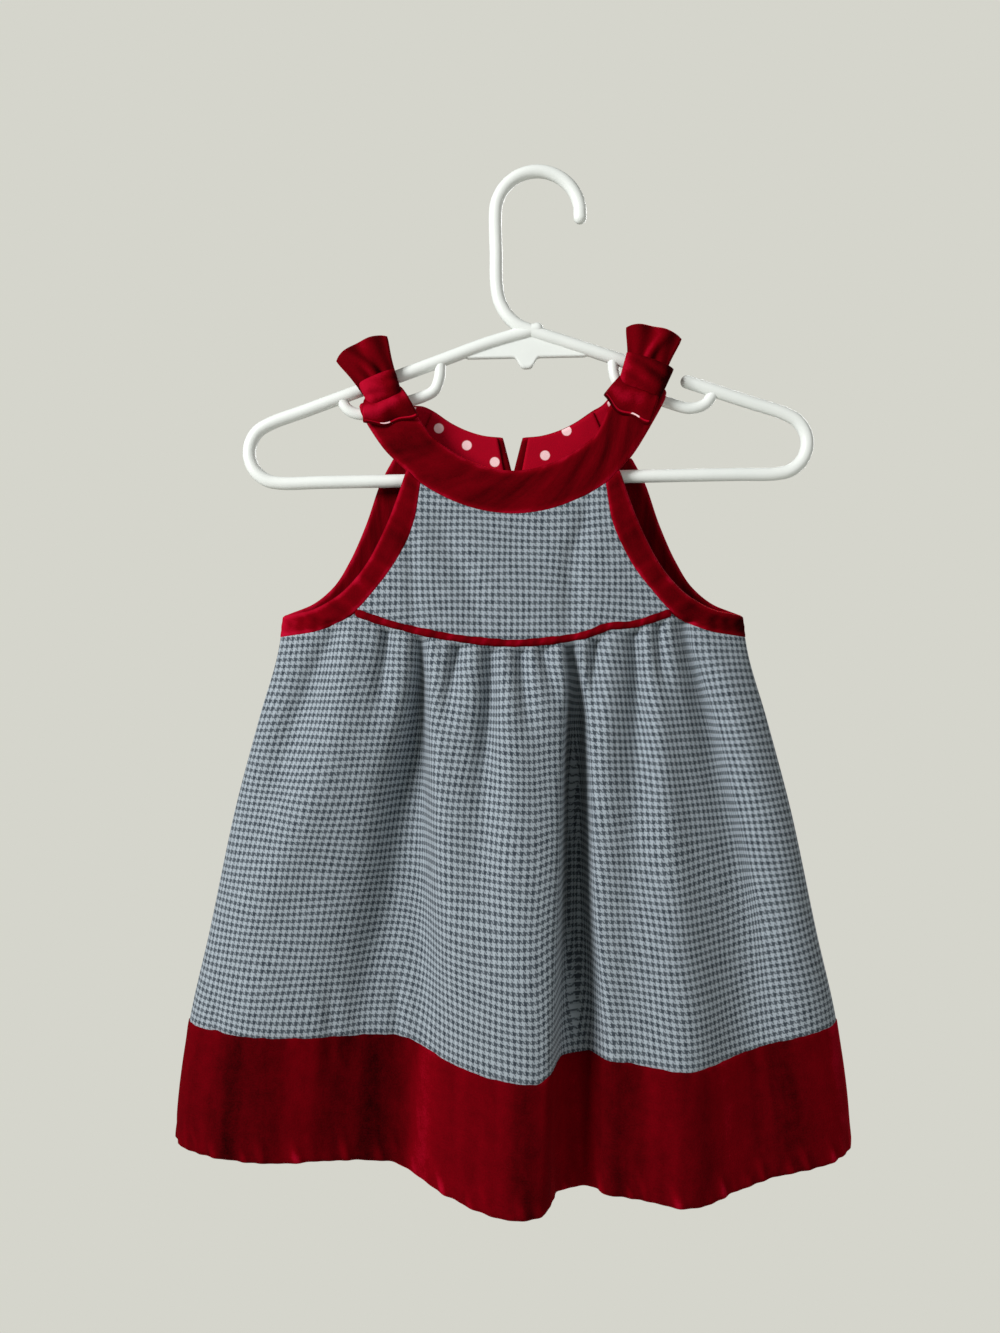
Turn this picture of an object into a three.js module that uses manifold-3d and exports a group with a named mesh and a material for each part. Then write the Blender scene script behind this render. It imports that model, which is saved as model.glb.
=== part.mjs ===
// Toddler's sleeveless A-line dress hung on a moulded child's hanger.
// Millimetres, +Z up, front towards -Y, origin where the hook rests.
import * as THREE from "three";
import { mergeVertices } from "three/addons/utils/BufferGeometryUtils.js";
import Module from "manifold-3d";

const wasm = await Module();
wasm.setup();

const { lerp, degToRad, smoothstep } = THREE.MathUtils;

// Cloth walls and seams
const TWEED = 1.5;
const VELVETEEN = 2.0;
const HEM_CLOTH = 2.2;
const BOW_CLOTH = 2.0;
const FACING = 1.0;
const SEAM = 0.3;
const PIPING_RADIUS = 1.5;

// Placing of the dress under the hook
const DRESS_X = -12.9;
const HALF_CHEST = 121.8;

// Rings of the garment from the shoulders to the hem: half-width, depth of
// front and back from the middle, and how square the ring is
const RINGS = [
  { z: -560, half: 179.6, front: 27.0, back: 15.0, square: 8.0 },
  { z: -516, half: 178.6, front: 26.0, back: 14.5, square: 8.0 },
  { z: -498, half: 177.8, front: 25.5, back: 14.5, square: 8.0 },
  { z: -450, half: 171.6, front: 24.0, back: 14.0, square: 7.5 },
  { z: -402, half: 161.0, front: 22.0, back: 13.0, square: 7.0 },
  { z: -338, half: 147.6, front: 19.0, back: 12.0, square: 6.0 },
  { z: -290, half: 135.0, front: 16.5, back: 11.0, square: 4.5 },
  { z: -250, half: 124.0, front: 14.0, back: 10.0, square: 3.2 },
  { z: -232, half: HALF_CHEST, front: 13.0, back: 9.6, square: 3.0 },
  { z: -200, half: HALF_CHEST, front: 11.0, back: 9.2, square: 3.0 },
  { z: -160, half: HALF_CHEST, front: 9.0, back: 8.8, square: 3.0 },
  { z: -138, half: HALF_CHEST, front: 7.4, back: 8.2, square: 3.0 },
  { z: -118, half: HALF_CHEST, front: 5.6, back: 5.6, square: 3.0 },
  { z: -100, half: HALF_CHEST, front: 5.6, back: 5.6, square: 3.0 },
];

// Hem line of front and back, with the seam above it: levels at each share of
// the half-width
const FRONT_HEM = [
  { s: -1.0, z: -511.0, seam: -449.0 },
  { s: -0.8, z: -513.5, seam: -451.5 },
  { s: -0.6, z: -514.5, seam: -452.5 },
  { s: -0.42, z: -517.5, seam: -454.5 },
  { s: -0.25, z: -529.0, seam: -463.0 },
  { s: 0.0, z: -536.0, seam: -469.5 },
  { s: 0.07, z: -535.6, seam: -470.5 },
  { s: 0.17, z: -532.5, seam: -465.0 },
  { s: 0.5, z: -532.5, seam: -465.5 },
  { s: 0.66, z: -528.5, seam: -462.0 },
  { s: 0.85, z: -519.5, seam: -453.5 },
  { s: 1.0, z: -515.0, seam: -449.0 },
];
const BACK_HEM = [
  { s: -1.0, z: -511.0, seam: -449.0 },
  { s: 0.0, z: -522.0, seam: -457.0 },
  { s: 1.0, z: -515.0, seam: -449.0 },
];
const WAIST_Z = -240;
const HEM_Z = -536;

// Large folds: place across, width to each side and lift off the ring, given
// at the waist, half-way down and at the hem
const FRONT_FOLDS = [
  { top: -0.75, hem: -0.62, left: [20, 26], right: [16, 24], lift: [0, 2, 3] },
  { top: -0.43, hem: -0.42, left: [12, 40], right: [5, 13], lift: [-2, -9, -13] },
  { top: 0.03, hem: 0.03, left: [28, 36], right: [24, 22], lift: [0, 8, 17] },
  { top: 0.275, hem: 0.165, left: [5, 7], right: [7, 17], lift: [-3, -12, -17] },
  { top: 0.47, hem: 0.5, left: [14, 24], right: [14, 24], lift: [0, 5, 11] },
  { top: 0.56, hem: 0.66, left: [9, 10], right: [9, 14], lift: [-1, -4, -5] },
  { top: 0.82, hem: 0.84, left: [14, 18], right: [12, 18], lift: [0, 2, 3] },
];
const BACK_FOLDS = [
  { top: -0.6, hem: -0.55, left: [14, 24], right: [10, 20], lift: [-1, -3, -5] },
  { top: -0.25, hem: -0.2, left: [20, 30], right: [20, 28], lift: [0, 4, 7] },
  { top: 0.12, hem: 0.16, left: [9, 16], right: [9, 20], lift: [-1, -4, -6] },
  { top: 0.45, hem: 0.48, left: [18, 28], right: [18, 26], lift: [0, 3, 6] },
  { top: 0.7, hem: 0.74, left: [10, 18], right: [10, 16], lift: [-1, -3, -4] },
];

// Gathers under the waist seam: place across, depth, half-width and reach
const FRONT_GATHERS = [
  { s: -0.62, depth: 1.6, width: 4.0, reach: 42 },
  { s: -0.53, depth: 1.4, width: 3.6, reach: 30 },
  { s: -0.432, depth: 3.0, width: 4.6, reach: 80 },
  { s: -0.33, depth: 1.4, width: 4.0, reach: 32 },
  { s: -0.24, depth: 1.8, width: 4.2, reach: 42 },
  { s: -0.104, depth: 3.2, width: 5.0, reach: 85 },
  { s: 0.006, depth: 2.0, width: 4.2, reach: 40 },
  { s: 0.142, depth: 1.7, width: 4.2, reach: 36 },
  { s: 0.274, depth: 3.4, width: 4.6, reach: 80 },
  { s: 0.389, depth: 2.0, width: 4.2, reach: 44 },
  { s: 0.534, depth: 2.6, width: 5.0, reach: 62 },
  { s: 0.63, depth: 1.6, width: 4.0, reach: 36 },
];
const BACK_GATHERS = [
  { s: -0.56, depth: 1.8, width: 5.0, reach: 45 },
  { s: -0.38, depth: 2.2, width: 5.5, reach: 60 },
  { s: -0.2, depth: 1.8, width: 5.0, reach: 40 },
  { s: -0.02, depth: 2.0, width: 5.0, reach: 50 },
  { s: 0.17, depth: 2.4, width: 5.5, reach: 65 },
  { s: 0.36, depth: 1.8, width: 5.0, reach: 40 },
  { s: 0.55, depth: 2.0, width: 5.0, reach: 50 },
];

// Armhole binding from the front strap, under the arm to the back strap:
// turn round the ring in degrees and level, of its free edge and of its seam
const BINDING = [
  { edge: 27.2, edgeZ: -158.2, seam: 23.8, seamZ: -164.8 },
  { edge: 30.0, edgeZ: -174.0, seam: 25.2, seamZ: -182.0 },
  { edge: 34.2, edgeZ: -192.5, seam: 29.5, seamZ: -202.0 },
  { edge: 40.8, edgeZ: -212.0, seam: 36.5, seamZ: -220.0 },
  { edge: 50.6, edgeZ: -226.0, seam: 45.0, seamZ: -234.0 },
  { edge: 64.0, edgeZ: -232.8, seam: 61.0, seamZ: -243.0 },
  { edge: 90.0, edgeZ: -234.8, seam: 90.0, seamZ: -245.2 },
  { edge: 115.0, edgeZ: -230.0, seam: 119.0, seamZ: -242.0 },
  { edge: 127.5, edgeZ: -219.5, seam: 134.0, seamZ: -232.0 },
  { edge: 134.2, edgeZ: -205.0, seam: 141.2, seamZ: -213.5 },
  { edge: 140.0, edgeZ: -184.5, seam: 146.7, seamZ: -190.0 },
  { edge: 144.4, edgeZ: -163.0, seam: 150.5, seamZ: -168.0 },
  { edge: 148.4, edgeZ: -149.2, seam: 152.1, seamZ: -155.2 },
];
const BINDING_STEP = 0.25;
const UNDERARM = 6;
const FRONT_WAIST = 3.75;
const BACK_WAIST = 8.25;

// Neckband: low point of its lower edge and of the neckline, front and back
const FRONT_BAND_LOW = -180.3;
const FRONT_NECK_LOW = -158.8;
const FRONT_NECK_RISE = 18.4;
const FRONT_NECK_HALF = 43;
const BAND_CORNER = { x: 48.8, z: -163.8 };
const BACK_BAND_LOW = -160.2;
const BACK_NECK_LOW = -138;
const BACK_NECK_RISE = 13.7;
const BACK_NECK_HALF = 43;
const BACK_CORNER = { x: 56.4, z: -154.2 };
const NOTCH_HALF = 7.2;
const WAIST_SAG = 16;

// Straps above the corner of the band, and their share of the shoulder's tilt
const FRONT_STRAP = [
  { innerX: 46.4, innerZ: -135.6, outerX: 56.2, outerZ: -156.3, tilt: 0.1 },
  { innerX: 51.6, innerZ: -126.6, outerX: 67.5, outerZ: -143.0, tilt: 0.7 },
];
const BACK_STRAP = [
  { innerX: 48.6, innerZ: -121.4, outerX: 63.8, outerZ: -146.8, tilt: 0.1 },
  { innerX: 53.6, innerZ: -118.6, outerX: 72.0, outerZ: -136.0, tilt: 0.7 },
];
const STRAP_X = 69.5;
const STRAP_HALF = 10.5;
const SADDLE_RADIUS = 5.1;

// Hanger: tube, hook, arms, pockets and web
const TUBE = 3.5;
const POCKET_TUBE = 3.0;
const HOOK_RADIUS = 22.7;
const HANGER_AXIS = -7.5;
const HANGER_TILT = degToRad(1.1);
const HALF_SPAN = 149;
const ARM_SLOPE = degToRad(19.2);
const APEX_Z = -80.7;
const BAR_Z = -160.4;
const SLOT = { inner: 72, outer: 82 };
const POCKET = [
  { x: 46.0, z: -97.5 },
  { x: 46.8, z: -106.0 },
  { x: 49.5, z: -112.2 },
  { x: 55.0, z: -115.4 },
  { x: 71.0, z: -120.0 },
  { x: 87.0, z: -124.6 },
  { x: 95.0, z: -122.4 },
  { x: 100.0, z: -115.8 },
];
const WEB = { half: 36, base: -95.2, nub: 6, thick: 2.4 };

// Bows: lean of the upper and lower wing from the vertical and their reach
const BOWS = [
  { name: "left", side: -1, upLean: -26, upReach: 24, downLean: 18, downReach: 16 },
  { name: "right", side: 1, upLean: 12, upReach: 23, downLean: -28, downReach: 20 },
];
const KNOT_RISE = 8.7;
const WING = { neck: 20, end: 30, lower: 27, waves: 2, ruffle: 2.0, clear: 2.4 };
const KNOT = { width: 23, height: 14, arch: 1.2, clear: 0.6 };

// Finishes
const CLOTHS = {
  tweed: { color: 0x757c83, roughness: 0.95, metalness: 0 },
  velveteen: { color: 0x5c040c, roughness: 0.9, metalness: 0 },
  dotted_cotton: { color: 0x93061d, roughness: 0.8, metalness: 0 },
  white_plastic: { color: 0xe4e8e4, roughness: 0.4, metalness: 0 },
};
const FINISH = {};
for (const [name, look] of Object.entries(CLOTHS)) {
  FINISH[name] = new THREE.MeshStandardMaterial({ name, ...look });
}

const part = new THREE.Group();
part.name = "sundress";

// Adds one named solid with its finish
function add(name, geometry, finish) {
  const mesh = new THREE.Mesh(geometry, FINISH[finish]);
  mesh.name = name;
  part.add(mesh);
}

// Smooth reading of one column of a table: cubic pieces that never overshoot
function reading(rows, key, name) {
  const sorted = [...rows].sort((a, b) => a[key] - b[key]);
  const at = sorted.map((row) => row[key]);
  const value = sorted.map((row) => row[name]);
  const last = at.length - 1;
  const rise = value.slice(1).map((v, i) => (v - value[i]) / (at[i + 1] - at[i]));
  const slope = value.map((_, i) => {
    if (i === 0 || i === last) return rise[Math.min(i, last - 1)];
    const [a, b] = [rise[i - 1], rise[i]];
    return a * b > 0 ? (2 * a * b) / (a + b) : 0;
  });
  return (x) => {
    if (x <= at[0]) return value[0];
    if (x >= at[last]) return value[last];
    const i = at.findIndex((a) => a > x) - 1;
    const h = at[i + 1] - at[i];
    const u = (x - at[i]) / h;
    const keep = (1 + 2 * u) * (1 - u) ** 2 * value[i] + u * u * (3 - 2 * u) * value[i + 1];
    return keep + h * u * (1 - u) * ((1 - u) * slope[i] - u * slope[i + 1]);
  };
}

const halfWidth = reading(RINGS, "z", "half");
const frontDepth = reading(RINGS, "z", "front");
const backDepth = reading(RINGS, "z", "back");
const squareness = reading(RINGS, "z", "square");

// Value at the waist, half-way and hem, read at a share of the drop
function downTheSkirt([waist, middle, hem], drop) {
  return drop < 0.5 ? lerp(waist, middle, drop * 2) : lerp(middle, hem, drop * 2 - 1);
}

// Lift of the cloth off its ring by the large folds and the gathers
function foldLift(s, z, folds, gathers) {
  const below = WAIST_Z - z;
  if (below <= 0) return 0;
  const drop = Math.min(1, below / (WAIST_Z - HEM_Z));
  const width = halfWidth(z);
  let lift = 0;
  for (const fold of folds) {
    const away = (s - lerp(fold.top, fold.hem, drop)) * width;
    const [top, hem] = away < 0 ? fold.left : fold.right;
    lift += downTheSkirt(fold.lift, drop) * Math.exp(-((away / lerp(top, hem, drop)) ** 2));
  }
  for (const gather of gathers) {
    const away = ((s - gather.s) * width) / (gather.width * (1 + below / gather.reach));
    lift -= gather.depth * Math.exp(-(away ** 2) - (below / gather.reach) ** 2);
  }
  return lift * smoothstep(below, 2, 22);
}

// Point of the garment's surface: turn 0 is the front middle, a quarter turn
// the right side seam, half a turn the back middle
function bodyPoint(turn, z) {
  const s = Math.sin(turn);
  const front = Math.cos(turn) >= 0;
  const full = Math.sqrt(Math.max(0, 1 - Math.abs(s) ** squareness(z)));
  const lift = front
    ? foldLift(s, z, FRONT_FOLDS, FRONT_GATHERS)
    : foldLift(s, z, BACK_FOLDS, BACK_GATHERS);
  const depth = front ? -(frontDepth(z) + lift) : backDepth(z) + lift;
  return new THREE.Vector3(DRESS_X + s * halfWidth(z), depth * full, z);
}

// Turn that gives a distance from the dress's middle on the front or back
function turnAt(x, back = false) {
  const turn = Math.asin(x / HALF_CHEST);
  return back ? Math.PI - turn : turn;
}

// Outward unit normal of the garment's surface
function bodyNormal(turn, z) {
  const step = 0.012;
  const across = bodyPoint(turn + step, z).sub(bodyPoint(turn - step, z));
  const upwards = bodyPoint(turn, z + 0.6).sub(bodyPoint(turn, z - 0.6));
  return across.cross(upwards).normalize();
}

// Closed cloth wall on the garment's surface about places given by turn and level
function bodyWall(places, thickness) {
  const sheet = (by) =>
    places.map((row) =>
      row.map(({ turn, z }) => bodyPoint(turn, z).addScaledVector(bodyNormal(turn, z), by)),
    );
  return closed(sheet(thickness / 2), sheet(-thickness / 2));
}

// Unit normals of a grid of points, from its neighbours along and across
function gridNormals(grid) {
  return grid.map((row, r) =>
    row.map((_, c) => {
      const up = grid[Math.max(0, r - 1)][c];
      const down = grid[Math.min(grid.length - 1, r + 1)][c];
      const left = row[Math.max(0, c - 1)];
      const right = row[Math.min(row.length - 1, c + 1)];
      const along = new THREE.Vector3().subVectors(down, up);
      const across = new THREE.Vector3().subVectors(right, left);
      return along.cross(across).normalize();
    }),
  );
}

// Grid moved along its own normals
function moved(grid, by) {
  const normals = gridNormals(grid);
  return grid.map((row, r) => row.map((p, c) => p.clone().addScaledVector(normals[r][c], by)));
}

// Closed cloth wall about a grid of middle points
function clothWall(grid, thickness) {
  return closed(moved(grid, thickness / 2), moved(grid, -thickness / 2));
}

// Two faces of a wall joined round their rim, turned so that it faces outwards
function closed(outer, inner) {
  const rows = outer.length;
  const cols = outer[0].length;
  const points = [outer, inner].flat(2);
  const id = (sheet, r, c) => (sheet * rows + r) * cols + c;
  const faces = [];
  const quad = (a, b, c, d) => faces.push(a, b, c, a, c, d);
  for (let r = 0; r + 1 < rows; r++) {
    for (let c = 0; c + 1 < cols; c++) {
      quad(id(0, r, c), id(0, r + 1, c), id(0, r + 1, c + 1), id(0, r, c + 1));
      quad(id(1, r, c), id(1, r, c + 1), id(1, r + 1, c + 1), id(1, r + 1, c));
    }
    quad(id(0, r, 0), id(1, r, 0), id(1, r + 1, 0), id(0, r + 1, 0));
    quad(id(0, r, cols - 1), id(0, r + 1, cols - 1), id(1, r + 1, cols - 1), id(1, r, cols - 1));
  }
  for (let c = 0; c + 1 < cols; c++) {
    quad(id(0, 0, c), id(0, 0, c + 1), id(1, 0, c + 1), id(1, 0, c));
    quad(id(0, rows - 1, c), id(1, rows - 1, c), id(1, rows - 1, c + 1), id(0, rows - 1, c + 1));
  }
  let volume = 0;
  for (let i = 0; i < faces.length; i += 3) {
    const [a, b, c] = [0, 1, 2].map((k) => points[faces[i + k]]);
    volume += a.dot(new THREE.Vector3().crossVectors(b, c));
  }
  const geometry = new THREE.BufferGeometry().setFromPoints(points);
  geometry.setIndex(volume < 0 ? faces.reverse() : faces);
  return geometry;
}

// Grid ruled between two edges of the same number of points
function ruled(edgeA, edgeB, across) {
  return edgeA.map((a, i) =>
    Array.from({ length: across + 1 }, (_, c) => a.clone().lerp(edgeB[i], c / across)),
  );
}

// Points of a smooth curve through key points
function throughKeys(keys, perKey) {
  const curve = new THREE.CatmullRomCurve3(keys, false, "centripetal");
  return curve.getPoints((keys.length - 1) * perKey);
}

const steps = (from, to, count) =>
  Array.from({ length: count + 1 }, (_, i) => lerp(from, to, i / count));

// Binding: position along it is the row number of its table
const numbered = BINDING.map((row, i) => ({ t: i, ...row }));
const bindEdge = reading(numbered, "t", "edge");
const bindEdgeZ = reading(numbered, "t", "edgeZ");
const bindSeam = reading(numbered, "t", "seam");
const bindSeamZ = reading(numbered, "t", "seamZ");
const alongBinding = (from, to) => steps(from, to, Math.round(Math.abs(to - from) / BINDING_STEP));

function armholeBinding(side) {
  const rows = alongBinding(0, BINDING.length - 1);
  const places = rows.map((t) =>
    steps(0, 1, 2).map((across) => ({
      turn: side * degToRad(lerp(bindEdge(t), bindSeam(t), across)),
      z: lerp(bindEdgeZ(t), bindSeamZ(t), across),
    })),
  );
  return bodyWall(places, VELVETEEN);
}

// Turn of the seam, held clear of the binding by the seam gap
function clearOfBinding(t, towards) {
  return degToRad(bindSeam(t)) + (towards * 2 * SEAM) / HALF_CHEST;
}

// Waist seam under each yoke, at a share of the yoke's half-width
const frontWaist = (q) => lerp(bindSeamZ(FRONT_WAIST) - WAIST_SAG, bindSeamZ(FRONT_WAIST), Math.abs(q) ** 1.6);
const backWaist = (q) => lerp(bindSeamZ(BACK_WAIST) - WAIST_SAG, bindSeamZ(BACK_WAIST), Math.abs(q) ** 1.6);

function frontYoke() {
  const rows = alongBinding(0, FRONT_WAIST);
  const places = rows.map((t) => {
    const down = (bindSeamZ(t) - bindSeamZ(0)) / (bindSeamZ(FRONT_WAIST) - bindSeamZ(0));
    return steps(-1, 1, 16).map((q) => {
      const top = lerp(FRONT_BAND_LOW - SEAM * 1.6, bindSeamZ(0), q * q);
      return { turn: q * clearOfBinding(t, -1), z: lerp(top, frontWaist(q), down) };
    });
  });
  return bodyWall(places, TWEED);
}

function backYoke(side) {
  const rows = alongBinding(BINDING.length - 1, BACK_WAIST);
  const first = bindSeamZ(BINDING.length - 1);
  const slit = SEAM / HALF_CHEST;
  const places = rows.map((t) => {
    const down = (bindSeamZ(t) - first) / (bindSeamZ(BACK_WAIST) - first);
    return steps(0, 1, 9).map((q) => {
      const top = lerp(BACK_BAND_LOW - SEAM * 1.6, first, q * q);
      const turn = lerp(Math.PI - slit, clearOfBinding(t, 1), q);
      return { turn: side * turn, z: lerp(top, backWaist(q), down) };
    });
  });
  return bodyWall(places, TWEED);
}

// Level of the skirt's upper edge under the yoke seam and the binding
function frontSkirtTop(q) {
  return frontWaist(q) - 2 * (PIPING_RADIUS + SEAM);
}

// Columns of a skirt panel, each a turn with its upper level: finer at gathers
function skirtColumns(gathers, spacing, waistT, top, back) {
  const reach = back ? Math.PI - degToRad(bindSeam(waistT)) : degToRad(bindSeam(waistT));
  const clear = reach - (2 * SEAM) / HALF_CHEST;
  const stations = [-Math.sin(clear), ...gathers.map((row) => row.s), Math.sin(clear)];
  const inner = [-clear];
  for (let i = 1; i < stations.length; i++) {
    const gap = (stations[i] - stations[i - 1]) * HALF_CHEST;
    const shares = steps(stations[i - 1], stations[i], Math.max(2, Math.round(gap / spacing)));
    inner.push(...shares.slice(1).map((s) => Math.asin(s)));
  }
  const columns = inner.map((turn) => ({ turn, z: top(turn / clear) }));
  const sideTs = alongBinding(back ? waistT - BINDING_STEP : waistT + 2 * BINDING_STEP, UNDERARM);
  const sides = sideTs.map((t) => {
    const turn = back ? Math.PI - degToRad(bindSeam(t)) : degToRad(bindSeam(t));
    return { turn, z: bindSeamZ(t) - 1.4 * SEAM };
  });
  sides[sides.length - 1].turn = Math.PI / 2;
  const left = sides.map(({ turn, z }) => ({ turn: -turn, z })).reverse();
  return [...left, ...columns, ...sides];
}

// Turn of a panel's edge held half a seam gap off the side seam
function offSideSeam(turn, z, back) {
  const depth = back ? backDepth(z) : frontDepth(z);
  const limit = Math.PI / 2 - (0.6 * SEAM) / (depth * Math.sqrt(squareness(z) / 2));
  const held = Math.max(-limit, Math.min(limit, turn));
  return back ? Math.PI - held : held;
}

// Skirt or hem panel: rows from an upper to a lower level on every column
function panel(columns, upper, lower, rows, crowd, back) {
  return steps(0, 1, rows).map((v) =>
    columns.map((column) => {
      const z = lerp(upper(column), lower(column), v ** crowd);
      return { turn: offSideSeam(column.turn, z, back), z };
    }),
  );
}

const frontColumns = skirtColumns(FRONT_GATHERS, 4.4, FRONT_WAIST, frontSkirtTop, false);
const backColumns = skirtColumns(BACK_GATHERS, 7.0, BACK_WAIST, (q) => backWaist(q) - 1.4 * SEAM, true);
for (const [face, columns, table, rows, hemRows] of [
  ["front", frontColumns, FRONT_HEM, 11, 3],
  ["back", backColumns, BACK_HEM, 8, 2],
]) {
  const back = face === "back";
  const [hemAt, seamAt] = ["z", "seam"].map((name) => reading(table, "s", name));
  const hem = (column) => hemAt(Math.sin(column.turn));
  const seam = (column) => seamAt(Math.sin(column.turn));
  const skirt = panel(columns, (c) => c.z, (c) => seam(c) + SEAM / 2, rows, 1.35, back);
  const band = panel(columns, (c) => seam(c) - SEAM / 2, hem, hemRows, 1, back);
  add(`skirt_${face}`, bodyWall(skirt, TWEED), "tweed");
  add(`hem_band_${face}`, bodyWall(band, HEM_CLOTH), "velveteen");
}

// Hanger frame tilted about the hook's rest
function onHanger(x, z) {
  const [c, s] = [Math.cos(HANGER_TILT), Math.sin(HANGER_TILT)];
  const across = x + HANGER_AXIS;
  return new THREE.Vector3(across * c - z * s, 0, across * s + z * c);
}

// Straight run of a pocket's bar under a strap: its middle and direction
function pocketBar(side) {
  const [a, b] = [POCKET[3], POCKET[5]];
  const from = onHanger(side * a.x, a.z);
  const to = onHanger(side * b.x, b.z);
  const share = (DRESS_X + side * STRAP_X - from.x) / (to.x - from.x);
  const outward = to.clone().sub(from).normalize();
  const up = new THREE.Vector3(-side * outward.z, 0, side * outward.x);
  return { middle: from.lerp(to, share), outward, up };
}

// Shoulder rows of a strap folded over the bar, from its crown to one face
function saddleKeys(side, face, inner) {
  const { middle, outward, up } = pocketBar(side);
  const reach = inner ? -STRAP_HALF : STRAP_HALF;
  const crown = Math.PI / 2 - (SEAM * 1.2) / SADDLE_RADIUS;
  return steps(crown, 0, 3).map((angle) =>
    middle
      .clone()
      .addScaledVector(outward, reach)
      .addScaledVector(up, SADDLE_RADIUS * Math.sin(angle))
      .add(new THREE.Vector3(0, face * SADDLE_RADIUS * Math.cos(angle), 0)),
  );
}

const shoulderLevel = (pocketBar(-1).middle.z + pocketBar(1).middle.z) / 2;

// Keys of one edge of a strap between the saddle and the corner of the band
function strapKeys(side, table, inner, back) {
  const shift = pocketBar(side).middle.z - shoulderLevel;
  return [...table].reverse().map((row) => {
    const x = inner ? row.innerX : row.outerX;
    const z = (inner ? row.innerZ : row.outerZ) + shift * row.tilt;
    return bodyPoint(turnAt(side * x, back), z);
  });
}

function frontNeckband() {
  const edges = [true, false].map((inner) => {
    const middle = steps(-1, 1, 8).map((q) => {
      const half = inner ? FRONT_NECK_HALF : BAND_CORNER.x;
      const low = inner ? FRONT_NECK_LOW : FRONT_BAND_LOW;
      const rise = inner ? FRONT_NECK_RISE : BAND_CORNER.z - FRONT_BAND_LOW;
      return bodyPoint(turnAt(q * half), low + rise * q * q);
    });
    const [left, right] = [-1, 1].map((side) => [
      ...saddleKeys(side, -1, inner),
      ...strapKeys(side, FRONT_STRAP, inner, false),
    ]);
    return throughKeys([...left, ...middle, ...right.reverse()], 2);
  });
  return clothWall(ruled(edges[0], edges[1], 3), VELVETEEN);
}

// Edges of one half of the back neckband, from the notch to the shoulder
function backBandEdges(side, withStrap) {
  return [true, false].map((inner) => {
    const middle = steps(0, 1, 4).map((q) => {
      const start = inner ? NOTCH_HALF : SEAM;
      const half = inner ? BACK_NECK_HALF : BACK_CORNER.x;
      const low = inner ? BACK_NECK_LOW : BACK_BAND_LOW;
      const rise = inner ? BACK_NECK_RISE : BACK_CORNER.z - BACK_BAND_LOW;
      return bodyPoint(side * turnAt(lerp(start, half, q), true), low + rise * q * q);
    });
    if (!withStrap) return throughKeys(middle, 2);
    const strap = strapKeys(side, BACK_STRAP, inner, true).reverse();
    return throughKeys([...middle, ...strap, ...saddleKeys(side, 1, inner).reverse()], 2);
  });
}

// Facing laid on the inside of the back neckband
function neckFacing(side) {
  const [neck, seam] = backBandEdges(side, false);
  const inward = VELVETEEN / 2 + SEAM + FACING / 2;
  return clothWall(moved(ruled(neck, seam, 3), -side * inward), FACING);
}

add("front_yoke", frontYoke(), "tweed");
add("front_neckband", frontNeckband(), "velveteen");
for (const [name, side] of [["left", -1], ["right", 1]]) {
  const [neck, seam] = backBandEdges(side, true);
  add(`back_yoke_${name}`, backYoke(side), "tweed");
  add(`back_neckband_${name}`, clothWall(ruled(neck, seam, 3), VELVETEEN), "velveteen");
  add(`neck_facing_${name}`, neckFacing(side), "dotted_cotton");
  add(`armhole_binding_${name}`, armholeBinding(side), "velveteen");
}

// Cord let into the front waist seam
const cordSection = new THREE.Shape().absarc(0, 0, PIPING_RADIUS, 0, 2 * Math.PI);
const cordKeys = steps(-0.985, 0.985, 20).map((q) =>
  bodyPoint(q * clearOfBinding(FRONT_WAIST, -1), frontWaist(q) - PIPING_RADIUS - SEAM),
);
add(
  "waist_piping",
  new THREE.ExtrudeGeometry(cordSection, {
    steps: 40,
    curveSegments: 4,
    extrudePath: new THREE.CatmullRomCurve3(cordKeys),
  }),
  "velveteen",
);

// Wing of a bow: a fan of cloth with soft ruffles, from its neck outwards
function wing(neckAt, lean, reach, end) {
  const along = new THREE.Vector3(Math.sin(lean), 0, Math.cos(lean));
  const across = new THREE.Vector3(Math.cos(lean), 0, -Math.sin(lean));
  const grid = steps(0, 1, 5).map((b) =>
    steps(-1, 1, 14).map((a) => {
      const half = lerp(WING.neck, end, b ** 0.8) / 2;
      const ruffle = WING.ruffle * b ** 1.5 * (1.5 - Math.cos(WING.waves * Math.PI * a));
      return neckAt
        .clone()
        .addScaledVector(across, a * half)
        .addScaledVector(along, reach * b * (1 - 0.1 * a * a))
        .add(new THREE.Vector3(0, -ruffle, 0));
    }),
  );
  return clothWall(grid, BOW_CLOTH);
}

// Knot of a bow: a short band arched over the necks of the wings
function knot(at, lean) {
  const along = new THREE.Vector3(Math.sin(lean), 0, Math.cos(lean));
  const across = new THREE.Vector3(Math.cos(lean), 0, -Math.sin(lean));
  const grid = steps(-0.5, 0.5, 6).map((b) =>
    steps(-0.5, 0.5, 6).map((a) =>
      at
        .clone()
        .addScaledVector(across, a * KNOT.width)
        .addScaledVector(along, b * KNOT.height)
        .add(new THREE.Vector3(0, KNOT.arch * (4 * b * b - 1) + 0.8 * (4 * a * a - 1), 0)),
    ),
  );
  return clothWall(grid, BOW_CLOTH);
}

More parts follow.
